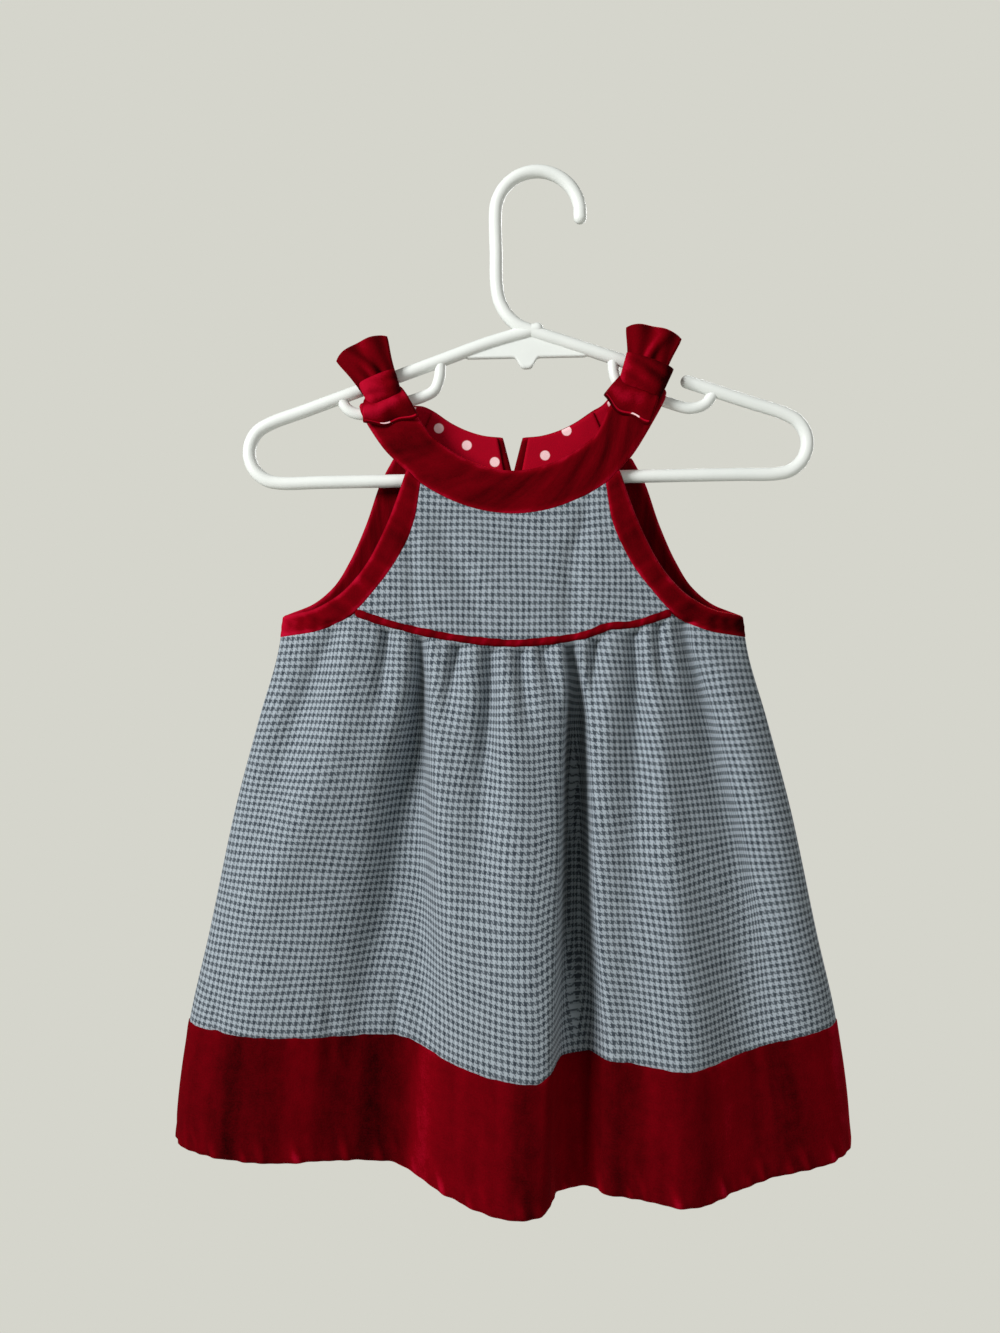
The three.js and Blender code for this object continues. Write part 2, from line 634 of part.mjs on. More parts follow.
for (const bow of BOWS) {
  const shoulder = pocketBar(bow.side).middle;
  const onStrap = -(SADDLE_RADIUS + VELVETEEN / 2 + 2 * SEAM + BOW_CLOTH / 2);
  const neckAt = shoulder.clone().add(new THREE.Vector3(0, onStrap, KNOT_RISE));
  const [up, down] = [degToRad(bow.upLean), Math.PI - degToRad(bow.downLean)];
  const [upperAt, lowerAt] = [up, down].map((lean) =>
    neckAt.clone().addScaledVector(new THREE.Vector3(Math.sin(lean), 0, Math.cos(lean)), WING.clear),
  );
  const knotAt = neckAt.clone().add(new THREE.Vector3(0, -(BOW_CLOTH + SEAM + KNOT.clear), 0));
  add(`bow_${bow.name}_upper`, wing(upperAt, up, bow.upReach, WING.end), "velveteen");
  add(`bow_${bow.name}_lower`, wing(lowerAt, down, bow.downReach, WING.lower), "velveteen");
  add(`bow_${bow.name}_knot`, knot(knotAt, (up + down - Math.PI) / 2), "velveteen");
}

// Hanger tubes and web joined into one moulding
function tube(points, radius, count) {
  const section = new THREE.Shape().absarc(0, 0, radius, 0, 2 * Math.PI);
  const path = new THREE.CatmullRomCurve3(points, false, "centripetal");
  return new THREE.ExtrudeGeometry(section, { steps: count, curveSegments: 4, extrudePath: path });
}

function ball(at, radius) {
  return new THREE.SphereGeometry(radius, 8, 6).translate(at.x, at.y, at.z);
}

function solid(geometry) {
  const bare = geometry.clone();
  bare.deleteAttribute("normal");
  bare.deleteAttribute("uv");
  const merged = mergeVertices(bare, 1e-4);
  const mesh = new wasm.Mesh({
    numProp: 3,
    vertProperties: new Float32Array(merged.attributes.position.array),
    triVerts: new Uint32Array(merged.index.array),
  });
  mesh.merge();
  return new wasm.Manifold(mesh);
}

const armZ = (x) => APEX_Z - Math.tan(ARM_SLOPE) * Math.abs(x);

function hanger() {
  const turn = (centreX, centreZ, radius, degrees) =>
    onHanger(
      centreX + radius * Math.cos(degToRad(degrees)),
      centreZ + radius * Math.sin(degToRad(degrees)),
    );
  const crown = -(HOOK_RADIUS - TUBE);
  const hook = steps(-6, 180, 12).map((d) => turn(-HANGER_AXIS, crown, HOOK_RADIUS, d));
  const foot = -HANGER_AXIS - HOOK_RADIUS;
  const stem = [
    onHanger(foot, -40),
    onHanger(foot, -57),
    onHanger(foot + 1.6, -66),
    onHanger(foot + 5.8, -73.6),
    onHanger(foot + 11, -78.4),
    onHanger(3, armZ(3)),
    onHanger(20, armZ(20)),
    onHanger(46, armZ(46)),
    onHanger(SLOT.inner - TUBE, armZ(SLOT.inner - TUBE)),
  ];
  const innerLeft = [6, -20, -46, TUBE - SLOT.inner].map((x) => onHanger(x, armZ(x) - (x > 0 ? -2 : 0)));
  const c = Math.cos(ARM_SLOPE);
  const drop = APEX_Z - BAR_Z - HALF_SPAN * Math.tan(ARM_SLOPE);
  const bend = (drop * c) / (1 + (1 - Math.tan(ARM_SLOPE)) * c);
  const end = steps(90 - (ARM_SLOPE * 180) / Math.PI, -90, 6);
  const arm = [SLOT.outer + TUBE, 100, 118].map((x) => ({ x, z: armZ(x) }));
  const round = end.map((d) => ({
    x: HALF_SPAN - bend + bend * Math.cos(degToRad(d)),
    z: BAR_Z + bend + bend * Math.sin(degToRad(d)),
  }));
  const bar = [110, 70, 25].map((x) => ({ x, z: BAR_Z }));
  const half = [...arm, ...round, ...bar];
  const loop = [
    ...half.map(({ x, z }) => onHanger(x, z)),
    ...[...half].reverse().map(({ x, z }) => onHanger(-x, z)),
  ];
  const outline = [
    new THREE.Vector2(0, APEX_Z),
    new THREE.Vector2(WEB.half, armZ(WEB.half)),
    new THREE.Vector2(WEB.half - 5, WEB.base),
    new THREE.Vector2(WEB.nub, WEB.base),
    new THREE.Vector2(WEB.nub - 1.6, WEB.base - 4.2),
    new THREE.Vector2(0, WEB.base - 5.8),
    new THREE.Vector2(1.6 - WEB.nub, WEB.base - 4.2),
    new THREE.Vector2(-WEB.nub, WEB.base),
    new THREE.Vector2(5 - WEB.half, WEB.base),
    new THREE.Vector2(-WEB.half, armZ(WEB.half)),
  ];
  const webShape = new THREE.Shape(outline);
  const web = new THREE.ExtrudeGeometry(webShape, { depth: WEB.thick, bevelEnabled: false });
  web.rotateX(Math.PI / 2).translate(HANGER_AXIS, WEB.thick / 2, 0).rotateY(-HANGER_TILT);
  const pieces = [tube([...hook, ...stem], TUBE, 46), tube(innerLeft, TUBE, 4), tube(loop, TUBE, 66), web];
  for (const side of [-1, 1]) {
    pieces.push(tube(POCKET.map(({ x, z }) => onHanger(side * x, z)), POCKET_TUBE, 15));
    for (const x of [SLOT.inner - TUBE, SLOT.outer + TUBE]) {
      pieces.push(ball(onHanger(side * x, armZ(x)), TUBE));
    }
  }
  pieces.push(ball(hook[0], TUBE));
  const whole = pieces.map(solid).reduce((sum, piece) => sum.add(piece));
  const mesh = whole.getMesh();
  const geometry = new THREE.BufferGeometry();
  const points = new THREE.BufferAttribute(new Float32Array(mesh.vertProperties), 3);
  geometry.setAttribute("position", points);
  geometry.setIndex([...mesh.triVerts]);
  return geometry;
}

add("hanger", hanger(), "white_plastic");

export default part;
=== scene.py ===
"""Toddler's sundress on its hanger: cut and sewn pieces, finishes and studio."""

import logging
import math
from dataclasses import dataclass, field
from enum import Enum
from typing import Any, Mapping, Optional, Sequence

import bpy
import numpy as np
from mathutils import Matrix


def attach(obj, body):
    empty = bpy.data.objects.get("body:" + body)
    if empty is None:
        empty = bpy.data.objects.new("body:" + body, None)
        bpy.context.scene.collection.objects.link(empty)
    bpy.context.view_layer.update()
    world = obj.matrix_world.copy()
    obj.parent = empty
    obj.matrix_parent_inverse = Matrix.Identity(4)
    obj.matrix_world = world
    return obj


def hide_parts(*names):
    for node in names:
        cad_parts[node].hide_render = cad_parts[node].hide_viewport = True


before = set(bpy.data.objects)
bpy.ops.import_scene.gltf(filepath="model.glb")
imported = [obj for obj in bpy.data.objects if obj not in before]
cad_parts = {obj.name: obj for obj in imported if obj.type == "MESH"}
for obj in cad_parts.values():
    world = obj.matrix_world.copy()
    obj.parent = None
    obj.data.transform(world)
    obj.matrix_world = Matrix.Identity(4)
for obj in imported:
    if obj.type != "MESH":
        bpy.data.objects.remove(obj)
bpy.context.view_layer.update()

Array = np.ndarray
log = logging.getLogger("sundress")

MM = 0.001
PIECE = "_piece"

# Cloth walls and seams, in millimetres
TWEED_WALL = 1.5
VELVETEEN_WALL = 2.0
HEM_WALL = 2.2
FACING_WALL = 1.0
SEAM = 0.3
PIPING_RADIUS = 1.5

# Placing of the dress under the hook, in millimetres
DRESS_X = -12.9
HALF_CHEST = 121.8
WAIST_Z = -240.0
GATHER_Z = -246.0


class Face(Enum):
    """Front or back of the garment; the value is the sign of its depth."""

    FRONT = -1
    BACK = 1


class Side(Enum):
    """Side of the garment as it is seen from the front."""

    LEFT = -1
    RIGHT = 1

    @property
    def word(self) -> str:
        """Name of the side in node names."""
        return self.name.lower()


class Held(Enum):
    HUNG = "hung"
    GATHERED = "gathered"
    FOLDED = "folded"
    STRETCHED = "stretched"


# Numbers


def lerp(a: Any, b: Any, share: Any) -> Any:
    """Value at a share of the way from a to b."""
    return a + (b - a) * share


def smoothstep(x: Array, low: float, high: float) -> Array:
    """Soft step from 0 below low to 1 above high."""
    u = np.clip((x - low) / (high - low), 0, 1)
    return u * u * (3 - 2 * u)


def unit(vectors: Array) -> Array:
    """Vectors scaled to length one."""
    return vectors / np.maximum(np.linalg.norm(vectors, axis=-1, keepdims=True), 1e-12)


@dataclass(frozen=True)
class Reading:
    """Smooth reading of a table: cubic pieces that never overshoot a row."""

    at: Array
    value: Array

    @classmethod
    def of(cls, rows: Sequence[Sequence[float]], column: int) -> "Reading":
        """Reading of one column of rows that are keyed by their first column.

        Args:
            rows: table rows in any order.
            column: number of the column to read.

        Returns:
            The reading of that column.
        """
        table = np.array(sorted(rows), dtype=float)
        return cls(table[:, 0], table[:, column])

    def __call__(self, x: Array) -> Array:
        """Value at x: Hermite cubics with harmonic-mean slopes.

        Args:
            x: places to read at; they are held inside the table.

        Returns:
            The values there.
        """
        step = np.diff(self.at)
        rise = np.diff(self.value) / step
        a, b = rise[:-1], rise[1:]
        same = a * b > 0
        inner = np.where(same, 2 * a * b / np.where(same, a + b, 1), 0)
        slope = np.concatenate([rise[:1], inner, rise[-1:]])
        x = np.clip(np.asarray(x, dtype=float), self.at[0], self.at[-1])
        i = np.clip(np.searchsorted(self.at, x, side="right") - 1, 0, len(step) - 1)
        h = step[i]
        u = (x - self.at[i]) / h
        keep = (1 + 2 * u) * (1 - u) ** 2 * self.value[i] + u * u * (3 - 2 * u) * self.value[i + 1]
        return keep + h * u * (1 - u) * ((1 - u) * slope[i] - u * slope[i + 1])


def through_keys(keys: Array, per_key: int) -> Array:
    """Points of a centripetal Catmull-Rom curve through key points.

    Each piece is a Hermite cubic whose end slopes weigh the neighbouring
    chords by the square root of their length.

    Args:
        keys: key points, one a row.
        per_key: points to each piece between two keys.

    Returns:
        Points along the curve, one a row.
    """
    ends = np.concatenate([[2 * keys[0] - keys[1]], keys, [2 * keys[-1] - keys[-2]]])
    p0, p1, p2, p3 = ends[:-3, None], ends[1:-2, None], ends[2:-1, None], ends[3:, None]
    spans = ((p0, p1), (p1, p2), (p2, p3))
    d0, d1, d2 = (np.sqrt(np.linalg.norm(b - a, axis=-1, keepdims=True)) for a, b in spans)
    out = ((p1 - p0) / d0 - (p2 - p0) / (d0 + d1) + (p2 - p1) / d1) * d1
    into = ((p2 - p1) / d1 - (p3 - p1) / (d1 + d2) + (p3 - p2) / d2) * d1
    u = np.linspace(0, 1, per_key, endpoint=False)[None, :, None]
    rise = u * u * (3 - 2 * u)
    points = p1 * (1 - rise) + p2 * rise + u * (1 - u) * ((1 - u) * out - u * into)
    return np.concatenate([points.reshape(-1, keys.shape[1]), keys[-1:]])


def evenly(points: Array, count: int) -> Array:
    """Curve resampled at even steps along its length.

    Args:
        points: points along the curve, one a row.
        count: number of points wanted.

    Returns:
        The evenly spaced points.
    """
    run = np.concatenate([[0], np.cumsum(np.linalg.norm(np.diff(points, axis=0), axis=1))])
    at = np.linspace(0, run[-1], count)
    return np.stack([np.interp(at, run, points[:, k]) for k in range(points.shape[1])], axis=1)


def run_along(grid: Array, axis: int) -> Array:
    """Distance run along one axis of a grid of points, from its first line.

    Args:
        grid: points, rows by columns by three.
        axis: 0 to run down the rows, 1 to run across the columns.

    Returns:
        The distance at every point.
    """
    chord = np.linalg.norm(np.diff(grid, axis=axis), axis=-1)
    start = np.zeros_like(np.take(chord, [0], axis=axis))
    return np.cumsum(np.concatenate([start, chord], axis=axis), axis=axis)


def grid_normals(grid: Array) -> Array:
    """Unit normals of a grid, across its rows and columns.

    Args:
        grid: points, rows by columns by three.

    Returns:
        The normals, by rows and columns.
    """
    down = np.gradient(grid, axis=0)
    across = np.gradient(grid, axis=1)
    return unit(np.cross(down, across))


def ripple(u: Array, v: Array, waves: Sequence[Sequence[float]]) -> Array:
    """Sum of slow sine waves over two lengths, for unevenness of cloth.

    Args:
        u: length across, in millimetres.
        v: length along, in millimetres.
        waves: rows of period across, period along, phase and height.

    Returns:
        The summed height, in millimetres.
    """
    total = np.zeros(np.broadcast(u, v).shape)
    for across, along, phase, height in waves:
        total = total + height * np.sin(2 * math.pi * (u / across + v / along) + phase)
    return total


# Meshes


@dataclass
class Cloth:
    """Grid of a piece's middle surface with what its shell needs."""

    name: str
    grid: Array
    normals: Array
    wall: float
    uv: Array
    nap: Optional[Array] = None
    facing_from: Optional[float] = None
    faced_inside: float = 0.0

    def shell(self) -> bpy.types.Object:
        """Closed thin shell about the grid with a rounded rim.

        Outer and inner faces lie half a wall off the grid along its normals;
        the rim runs over a middle line pushed out by half a wall.

        Returns:
            The finished mesh object.
        """
        rows, cols = self.grid.shape[:2]
        ids = np.arange(rows * cols).reshape(rows, cols)
        loop = np.concatenate([ids[0, :-1], ids[:-1, -1], ids[-1, :0:-1], ids[:0:-1, 0]])
        flat, normals = self.grid.reshape(-1, 3), self.normals.reshape(-1, 3)
        away = self.rim_directions().reshape(-1, 3)[loop]
        middle = flat[loop] + away * self.wall / 2
        points = np.concatenate([flat + normals * self.wall / 2, flat - normals * self.wall / 2, middle])
        count, rim = rows * cols, 2 * rows * cols + np.arange(len(loop))
        after, rim_after = np.roll(loop, -1), np.roll(rim, -1)
        quads = np.stack([ids[:-1, :-1], ids[1:, :-1], ids[1:, 1:], ids[:-1, 1:]], axis=-1).reshape(-1, 4)
        faces = np.concatenate(
            [
                quads,
                quads[:, ::-1] + count,
                np.stack([loop, after, rim_after, rim], axis=-1),
                np.stack([rim, rim_after, after + count, loop + count], axis=-1),
            ]
        )
        uv = self.uv.reshape(-1, 2)
        uv = np.concatenate([uv, uv, uv[loop]])
        nap = None
        if self.nap is not None:
            nap = self.nap.reshape(-1)
            nap = np.concatenate([nap, nap, nap[loop]])
        made = mesh_object(self.name, points, faces, uv, nap)
        if self.facing_from is not None:
            self.turn_facing(made, len(quads), len(loop))
        return made

    def rim_directions(self) -> Array:
        """Directions in the cloth that lead off its four edges.

        Returns:
            Unit vectors at the edge points, zero inside.
        """
        away = np.zeros_like(self.grid)
        away[0] += unit(self.grid[0] - self.grid[1])
        away[-1] += unit(self.grid[-1] - self.grid[-2])
        away[:, 0] += unit(self.grid[:, 0] - self.grid[:, 1])
        away[:, -1] += unit(self.grid[:, -1] - self.grid[:, -2])
        return unit(away)

    def turn_facing(self, made: bpy.types.Object, quads: int, rim: int) -> None:
        """Gives the faced rows, inside and rolled out at the edge, the second finish.

        Args:
            made: the shell.
            quads: faces on each side of the shell.
            rim: faces along each half of its rim.
        """
        share = np.linspace(0, 1, self.grid.shape[0] - 1)
        starts = (self.facing_from, self.faced_inside)
        outer, inner = (np.repeat(share >= start, quads // len(share)) for start in starts)
        edge = np.full(rim, self.faced_inside == 0)
        index = np.concatenate([outer, inner, np.zeros(rim), edge]).astype(np.int32)
        made.data.polygons.foreach_set("material_index", index)


def mesh_object(
    name: str, points: Array, faces: Array, uv: Array, nap: Optional[Array] = None
) -> bpy.types.Object:
    """Mesh object from points in millimetres, turned to face outwards.

    Args:
        name: name of the piece.
        points: points, one a row, in millimetres.
        faces: quads as rows of four point numbers.
        uv: two lengths along the cloth at each point, in millimetres.
        nap: brightness of the pile at each point, 0 to 1, where it is a pile cloth; uneven pile together with
            painted light and shade.

    Returns:
        The object, at the origin, unturned and unscaled.
    """
    a, b, c, d = (points[faces[:, k]] for k in range(4))
    volume = np.sum(a * np.cross(b, c)) + np.sum(a * np.cross(c, d))
    faces = faces[:, ::-1] if volume < 0 else faces
    mesh = bpy.data.meshes.new(name + PIECE)
    mesh.from_pydata((points * MM).tolist(), [], faces.tolist())
    layer = mesh.uv_layers.new(name="cloth")
    layer.uv.foreach_set("vector", (uv * MM)[faces.ravel()].astype(np.float32).ravel())
    # The attribute carries painted light and shade as well as the uneven pile
    if nap is not None:
        lie_and_light = mesh.attributes.new("nap", "FLOAT", "POINT")
        lie_and_light.data.foreach_set("value", nap.astype(np.float32))
    mesh.polygons.foreach_set("use_smooth", np.ones(len(faces), dtype=bool))
    mesh.update()
    made = bpy.data.objects.new(name + PIECE, mesh)
    bpy.context.scene.collection.objects.link(made)
    return made


def sweep(path: Array, radius: Array, sides: int) -> tuple[Array, Array, Array]:
    """Round bar along a path that runs near the XZ plane, with closed ends.

    Each ring lies across the path's direction; rings of falling radius close
    both ends like half a ball.

    Args:
        path: points along the middle of the bar, in millimetres.
        radius: radius at each point of the path.
        sides: points to a ring.

    Returns:
        Points, quads and lengths along and round the bar.
    """
    along = unit(np.gradient(path, axis=0))
    depth = np.array([0.0, 1.0, 0.0])
    depth = unit(depth - along * (along @ depth)[:, None])
    width = np.cross(along, depth)
    cap = np.linspace(0, math.pi / 2, 7)[1:-1]
    first = path[0] - along[0] * radius[0] * np.sin(cap[::-1])[:, None]
    last = path[-1] + along[-1] * radius[-1] * np.sin(cap)[:, None]
    path = np.concatenate([first, path, last])
    radius = np.concatenate([radius[0] * np.cos(cap[::-1]), radius, radius[-1] * np.cos(cap)])
    pad = ((len(cap), len(cap)), (0, 0))
    depth, width = np.pad(depth, pad, "edge"), np.pad(width, pad, "edge")
    angle = np.linspace(0, 2 * math.pi, sides, endpoint=False)
    ring = depth[:, None] * np.cos(angle)[:, None] + width[:, None] * np.sin(angle)[:, None]
    points = path[:, None] + ring * radius[:, None, None]
    rows = len(path)
    ids = np.arange(rows * sides).reshape(rows, sides)
    near, far = ids[:-1], ids[1:]
    quads = np.stack([near, far, np.roll(far, -1, 1), np.roll(near, -1, 1)], axis=-1).reshape(-1, 4)
    half = sides // 2
    turn = np.arange(half - 1)
    ends = (ids[0], ids[-1][::-1])
    lids = [np.stack([row[turn], row[turn + 1], row[-turn - 2], row[-turn - 1]], axis=-1) for row in ends]
    run = run_along(points, 0)
    round_it = np.broadcast_to(angle * np.mean(radius), (rows, sides))
    uv = np.stack([round_it, run], axis=-1).reshape(-1, 2)
    return points.reshape(-1, 3), np.concatenate([quads, *lids]), uv


# Finishes


def srgb(code: str) -> tuple[float, float, float, float]:
    """Scene colour of an sRGB hex code such as 5c040c.

    Args:
        code: six hex digits.

    Returns:
        Red, green, blue and full cover.
    """
    parts = (int(code[i : i + 2], 16) / 255 for i in (0, 2, 4))
    line = [c / 12.92 if c <= 0.04045 else ((c + 0.055) / 1.055) ** 2.4 for c in parts]
    return (line[0], line[1], line[2], 1.0)


class Graph:
    """Node tree of one material."""

    def __init__(self, name: str) -> None:
        """Starts an empty material.

        Args:
            name: name of the real material.
        """
        self.material = bpy.data.materials.new(name)
        self.material.use_nodes = True
        self.tree = self.material.node_tree
        self.tree.nodes.clear()

    def add(self, kind: str, inputs: Optional[Mapping[Any, Any]] = None, **settings: Any) -> bpy.types.Node:
        """Adds one node and joins or sets its inputs.

        Args:
            kind: node type without its ShaderNode prefix.
            inputs: sockets to join or constants to set, by input name or number.
            settings: properties of the node.

        Returns:
            The new node.
        """
        node = self.tree.nodes.new("ShaderNode" + kind)
        for name, value in settings.items():
            setattr(node, name, value)
        for key, value in (inputs or {}).items():
            if isinstance(value, bpy.types.NodeSocket):
                self.tree.links.new(value, node.inputs[key])
            else:
                node.inputs[key].default_value = value
        return node

    def calc(self, operation: str, *values: Any) -> bpy.types.NodeSocket:
        """Result of one arithmetic step on sockets or numbers."""
        return self.add("Math", dict(enumerate(values)), operation=operation).outputs[0]

    def lengths(self, *per_mm: float) -> bpy.types.NodeSocket:
        """Lengths along the cloth, as repeats of the given sizes in millimetres.

        Args:
            per_mm: millimetres to one repeat, across and along.

        Returns:
            The scaled coordinate.
        """
        place = self.add("UVMap", uv_map="cloth").outputs[0]
        scale = (1000 / per_mm[0], 1000 / per_mm[1], 1.0)
        return self.add("Mapping", {"Vector": place, "Scale": scale}).outputs[0]

    def noise(self, across_mm: float, along_mm: float, detail: float, **more: float) -> bpy.types.NodeSocket:
        """Cloudy value on the cloth's own lengths.

        Args:
            across_mm: size of a cloud across the cloth.
            along_mm: its size along the cloth.
            detail: number of finer layers.
            more: other inputs of the noise.

        Returns:
            The value, about a half.
        """
        inputs = {"Vector": self.lengths(across_mm, along_mm), "Scale": 1.0, "Detail": detail, **more}
        return self.add("TexNoise", inputs).outputs[0]

    def blend(self, share: Any, one: Any, other: Any, **settings: str) -> bpy.types.NodeSocket:
        """Colour at a share of the way from one colour to the other."""
        inputs = {0: share, 6: one, 7: other}
        return self.add("Mix", inputs, data_type="RGBA", **settings).outputs[2]

    def finish(self, surface: Mapping[str, Any]) -> bpy.types.Material:
        """Closes the tree with a surface of the given inputs.

        Args:
            surface: inputs of the principled surface.

        Returns:
            The material.
        """
        shader = self.add("BsdfPrincipled", surface)
        self.add("OutputMaterial", {"Surface": shader.outputs[0]})
        return self.material


@dataclass(frozen=True)
class CheckTweed:
    """Wool suiting in a small houndstooth check.

    Woven in a two-and-two twill with four dark and four pale threads by turns in warp and weft, then its face
    raised by brushing: a soft matt check with woolly edges.
    """

    slot: str = "tweed"
    dark: str = "2e3740"
    pale: str = "9da7af"
    across_mm: float = 3.1
    along_mm: float = 3.72
    repeat: float = 8.0
    twill: float = 4.0

    def material(self) -> bpy.types.Material:
        """Builds the material.
        """
        g = Graph("wool_houndstooth_tweed")
        woolly = g.add("TexNoise", {"Vector": g.lengths(1.4, 1.4), "Scale": 1.0, "Detail": 3.0})
        # Threads wander a little, so the teeth of the check aren't ruler-straight
        sway = g.add("VectorMath", {0: woolly.outputs["Color"], 1: (0.5, 0.5, 0.5)}, operation="SUBTRACT")
        sway = g.add("VectorMath", {0: sway.outputs[0], "Scale": 0.9}, operation="SCALE")
        threads = g.lengths(self.across_mm / self.repeat, self.along_mm / self.repeat)
        threads = g.add("VectorMath", {0: threads, 1: sway.outputs[0]}, operation="ADD")
        axes = g.add("SeparateXYZ", {0: threads.outputs[0]})
        warp, weft = (g.calc("FLOOR", axes.outputs[k]) for k in (0, 1))
        warp_pale, weft_pale = (
            g.calc("LESS_THAN", g.calc("FLOORED_MODULO", thread, self.repeat), self.repeat / 2)
            for thread in (warp, weft)
        )
        crossing = g.calc("FLOORED_MODULO", g.calc("ADD", warp, weft), self.twill)
        twill = g.calc("LESS_THAN", crossing, self.twill / 2)
        shown = g.add("Mix", {"Factor": twill, 2: weft_pale, 3: warp_pale}).outputs[0]
        heather = g.noise(2.2, 9.0, 4.0)
        uneven = g.calc("MULTIPLY_ADD", heather, 0.5, -0.25)
        # The thicker weft lies on top, so the rows read more strongly than the columns
        under = g.calc("MULTIPLY_ADD", weft_pale, 0.2, g.calc("MULTIPLY_ADD", warp_pale, 0.12, 0.07))
        tone = g.calc("MULTIPLY_ADD", shown, 0.54, under)
        tone = g.add("Clamp", {0: g.calc("ADD", tone, uneven)}).outputs[0]
        colour = g.blend(tone, srgb(self.dark), srgb(self.pale))
        # Yarn relief is finer than a pixel, so it is drawn at one bump to a thread pair
        relief = g.calc("ADD", g.calc("MULTIPLY", twill, 0.4), woolly.outputs[0])
        bump = g.add("Bump", {"Strength": 0.35, "Distance": 0.0004, "Height": relief})
        rough = g.calc("MULTIPLY_ADD", heather, 0.15, 0.82)
        return g.finish(
            {
                "Base Color": colour,
                "Roughness": rough,
                "Specular IOR Level": 0.15,
                "Sheen Weight": 0.12,
                "Sheen Roughness": 0.5,
                "Normal": bump.outputs[0],
            }
        )


@dataclass(frozen=True)
class Velveteen:
    """Cotton velveteen with a short upright pile.

    The pile swallows light where it is looked into and shines where it lies
    Its red runs from almost black to bright by an attribute that carries the uneven pile together with
    painted light and shade: lighter on slopes that face the key light, at turned edges and on crests, darker
    where the cloth faces away.
    """

    slot: str = "velveteen"
    deep: str = "240001"
    lying: str = "84000f"
    brushed: str = "a80c2a"
    shine: str = "e01024"

    def material(self) -> bpy.types.Material:
        """Builds the material.

        Returns:
            Pile cloth coloured by its painted light and shade and by fine streaks down the grain.
        """
        g = Graph("cotton_velveteen")
        streaks = g.noise(9.0, 80.0, 6.0, Distortion=0.4)
        clouds = g.noise(11.0, 15.0, 5.0)
        mottle = g.noise(3.4, 4.6, 3.0)
        # Single tufts are too fine to show, so the pile is drawn in tufts of 0.9 mm
        pile = g.noise(0.9, 0.9, 2.0)
        lie_and_light = g.add("Attribute", attribute_name="nap").outputs["Fac"]
        for uneven, share in ((streaks, 0.28), (clouds, 0.3), (mottle, 0.22), (pile, 0.32)):
            lie_and_light = g.calc("MULTIPLY_ADD", g.calc("SUBTRACT", uneven, 0.5), share, lie_and_light)
        # Painted light and shade: the attribute mixes the deep and the lying red
        colour = g.blend(lie_and_light, srgb(self.deep), srgb(self.lying))
        # Painted highlight: where the brightness runs high, at edges, crests and slopes towards the light,
        # the red turns to a paler crimson
        over = g.add("MapRange", {0: lie_and_light, 1: 0.65, 2: 1.25}).outputs[0]
        colour = g.blend(over, colour, srgb(self.brushed))
        relief = g.calc("ADD", g.calc("MULTIPLY_ADD", streaks, 0.5, pile), clouds)
        bump = g.add("Bump", {"Strength": 0.3, "Distance": 0.0006, "Height": relief})
        rough = g.calc("MULTIPLY_ADD", pile, 0.1, 0.85)
        return g.finish(
            {
                "Base Color": colour,
                "Roughness": rough,
                "Specular IOR Level": 0.02,
                "Sheen Weight": 0.3,
                "Sheen Roughness": 0.3,
                "Sheen Tint": srgb(self.shine),
                "Normal": bump.outputs[0],
            }
        )


@dataclass(frozen=True)
class DottedCotton:
    """Plain-weave cotton printed with pale dots set in diagonal rows.

    The dye takes unevenly on the yarn, so the red ground is faintly clouded and
    the dots keep the weave's fine grain.
    """

    slot: str = "dotted_cotton"
    ground: str = "9c001b"
    dot: str = "eec6c8"
    pitch_mm: float = 17.5
    dot_mm: float = 5.2

    def material(self) -> bpy.types.Material:
        """Builds the material.

        Returns:
            Printed dots with soft edges on a plain weave.
        """
        g = Graph("polka_dot_cotton")
        cell = g.lengths(self.pitch_mm, self.pitch_mm)
        dots = g.add("TexVoronoi", {"Vector": cell, "Scale": 1.0, "Randomness": 0.0}, voronoi_dimensions="2D")
        edge = self.dot_mm / self.pitch_mm / 2
        # The ink bleeds a little at the edge of a dot
        ink = g.add("MapRange", {0: dots.outputs["Distance"], 1: edge * 1.08, 2: edge * 0.92}).outputs[0]
        # Single threads are too fine to show, so the weave is drawn at 0.8 mm
        weave = g.noise(0.8, 0.8, 2.0)
        clouds = g.noise(14.0, 14.0, 3.0)
        shade = g.calc("MULTIPLY_ADD", g.calc("ADD", clouds, weave), 0.3, 0.7)
        ground = g.blend(1.0, srgb(self.ground), shade, blend_type="MULTIPLY")
        colour = g.blend(ink, ground, srgb(self.dot))
        bump = g.add("Bump", {"Strength": 0.2, "Distance": 0.0002, "Height": weave})
        return g.finish(
            {
                "Base Color": colour,
                "Roughness": g.calc("MULTIPLY_ADD", clouds, 0.1, 0.72),
                "Specular IOR Level": 0.05,
                "Normal": bump.outputs[0],
            }
        )


@dataclass(frozen=True)
class MouldedPlastic:
    """White moulded plastic.

    A polished mould leaves it a soft gloss with a faint ripple, and it has
    hardly any colour of its own.
    """

    slot: str = "white_plastic"
    white: str = "e9ece8"
    shade: str = "dde2de"

    def material(self) -> bpy.types.Material:
        """Builds the material.

        Returns:
            White plastic with faint clouds and ripple.
        """
        g = Graph("white_moulded_plastic")
        place = g.add("TexCoord").outputs["Object"]
        clouds = g.add("TexNoise", {"Vector": place, "Scale": 60.0, "Detail": 3.0}).outputs[0]
        ripples = g.add("TexNoise", {"Vector": place, "Scale": 260.0, "Detail": 2.0}).outputs[0]
        colour = g.blend(clouds, srgb(self.white), srgb(self.shade))
        bump = g.add("Bump", {"Strength": 0.12, "Distance": 0.0003, "Height": ripples})
        return g.finish(
            {
                "Base Color": colour,
                "Roughness": g.calc("MULTIPLY_ADD", clouds, 0.15, 0.3),
                "IOR": 1.49,
                "Specular IOR Level": 0.45,
                "Normal": bump.outputs[0],
            }
        )


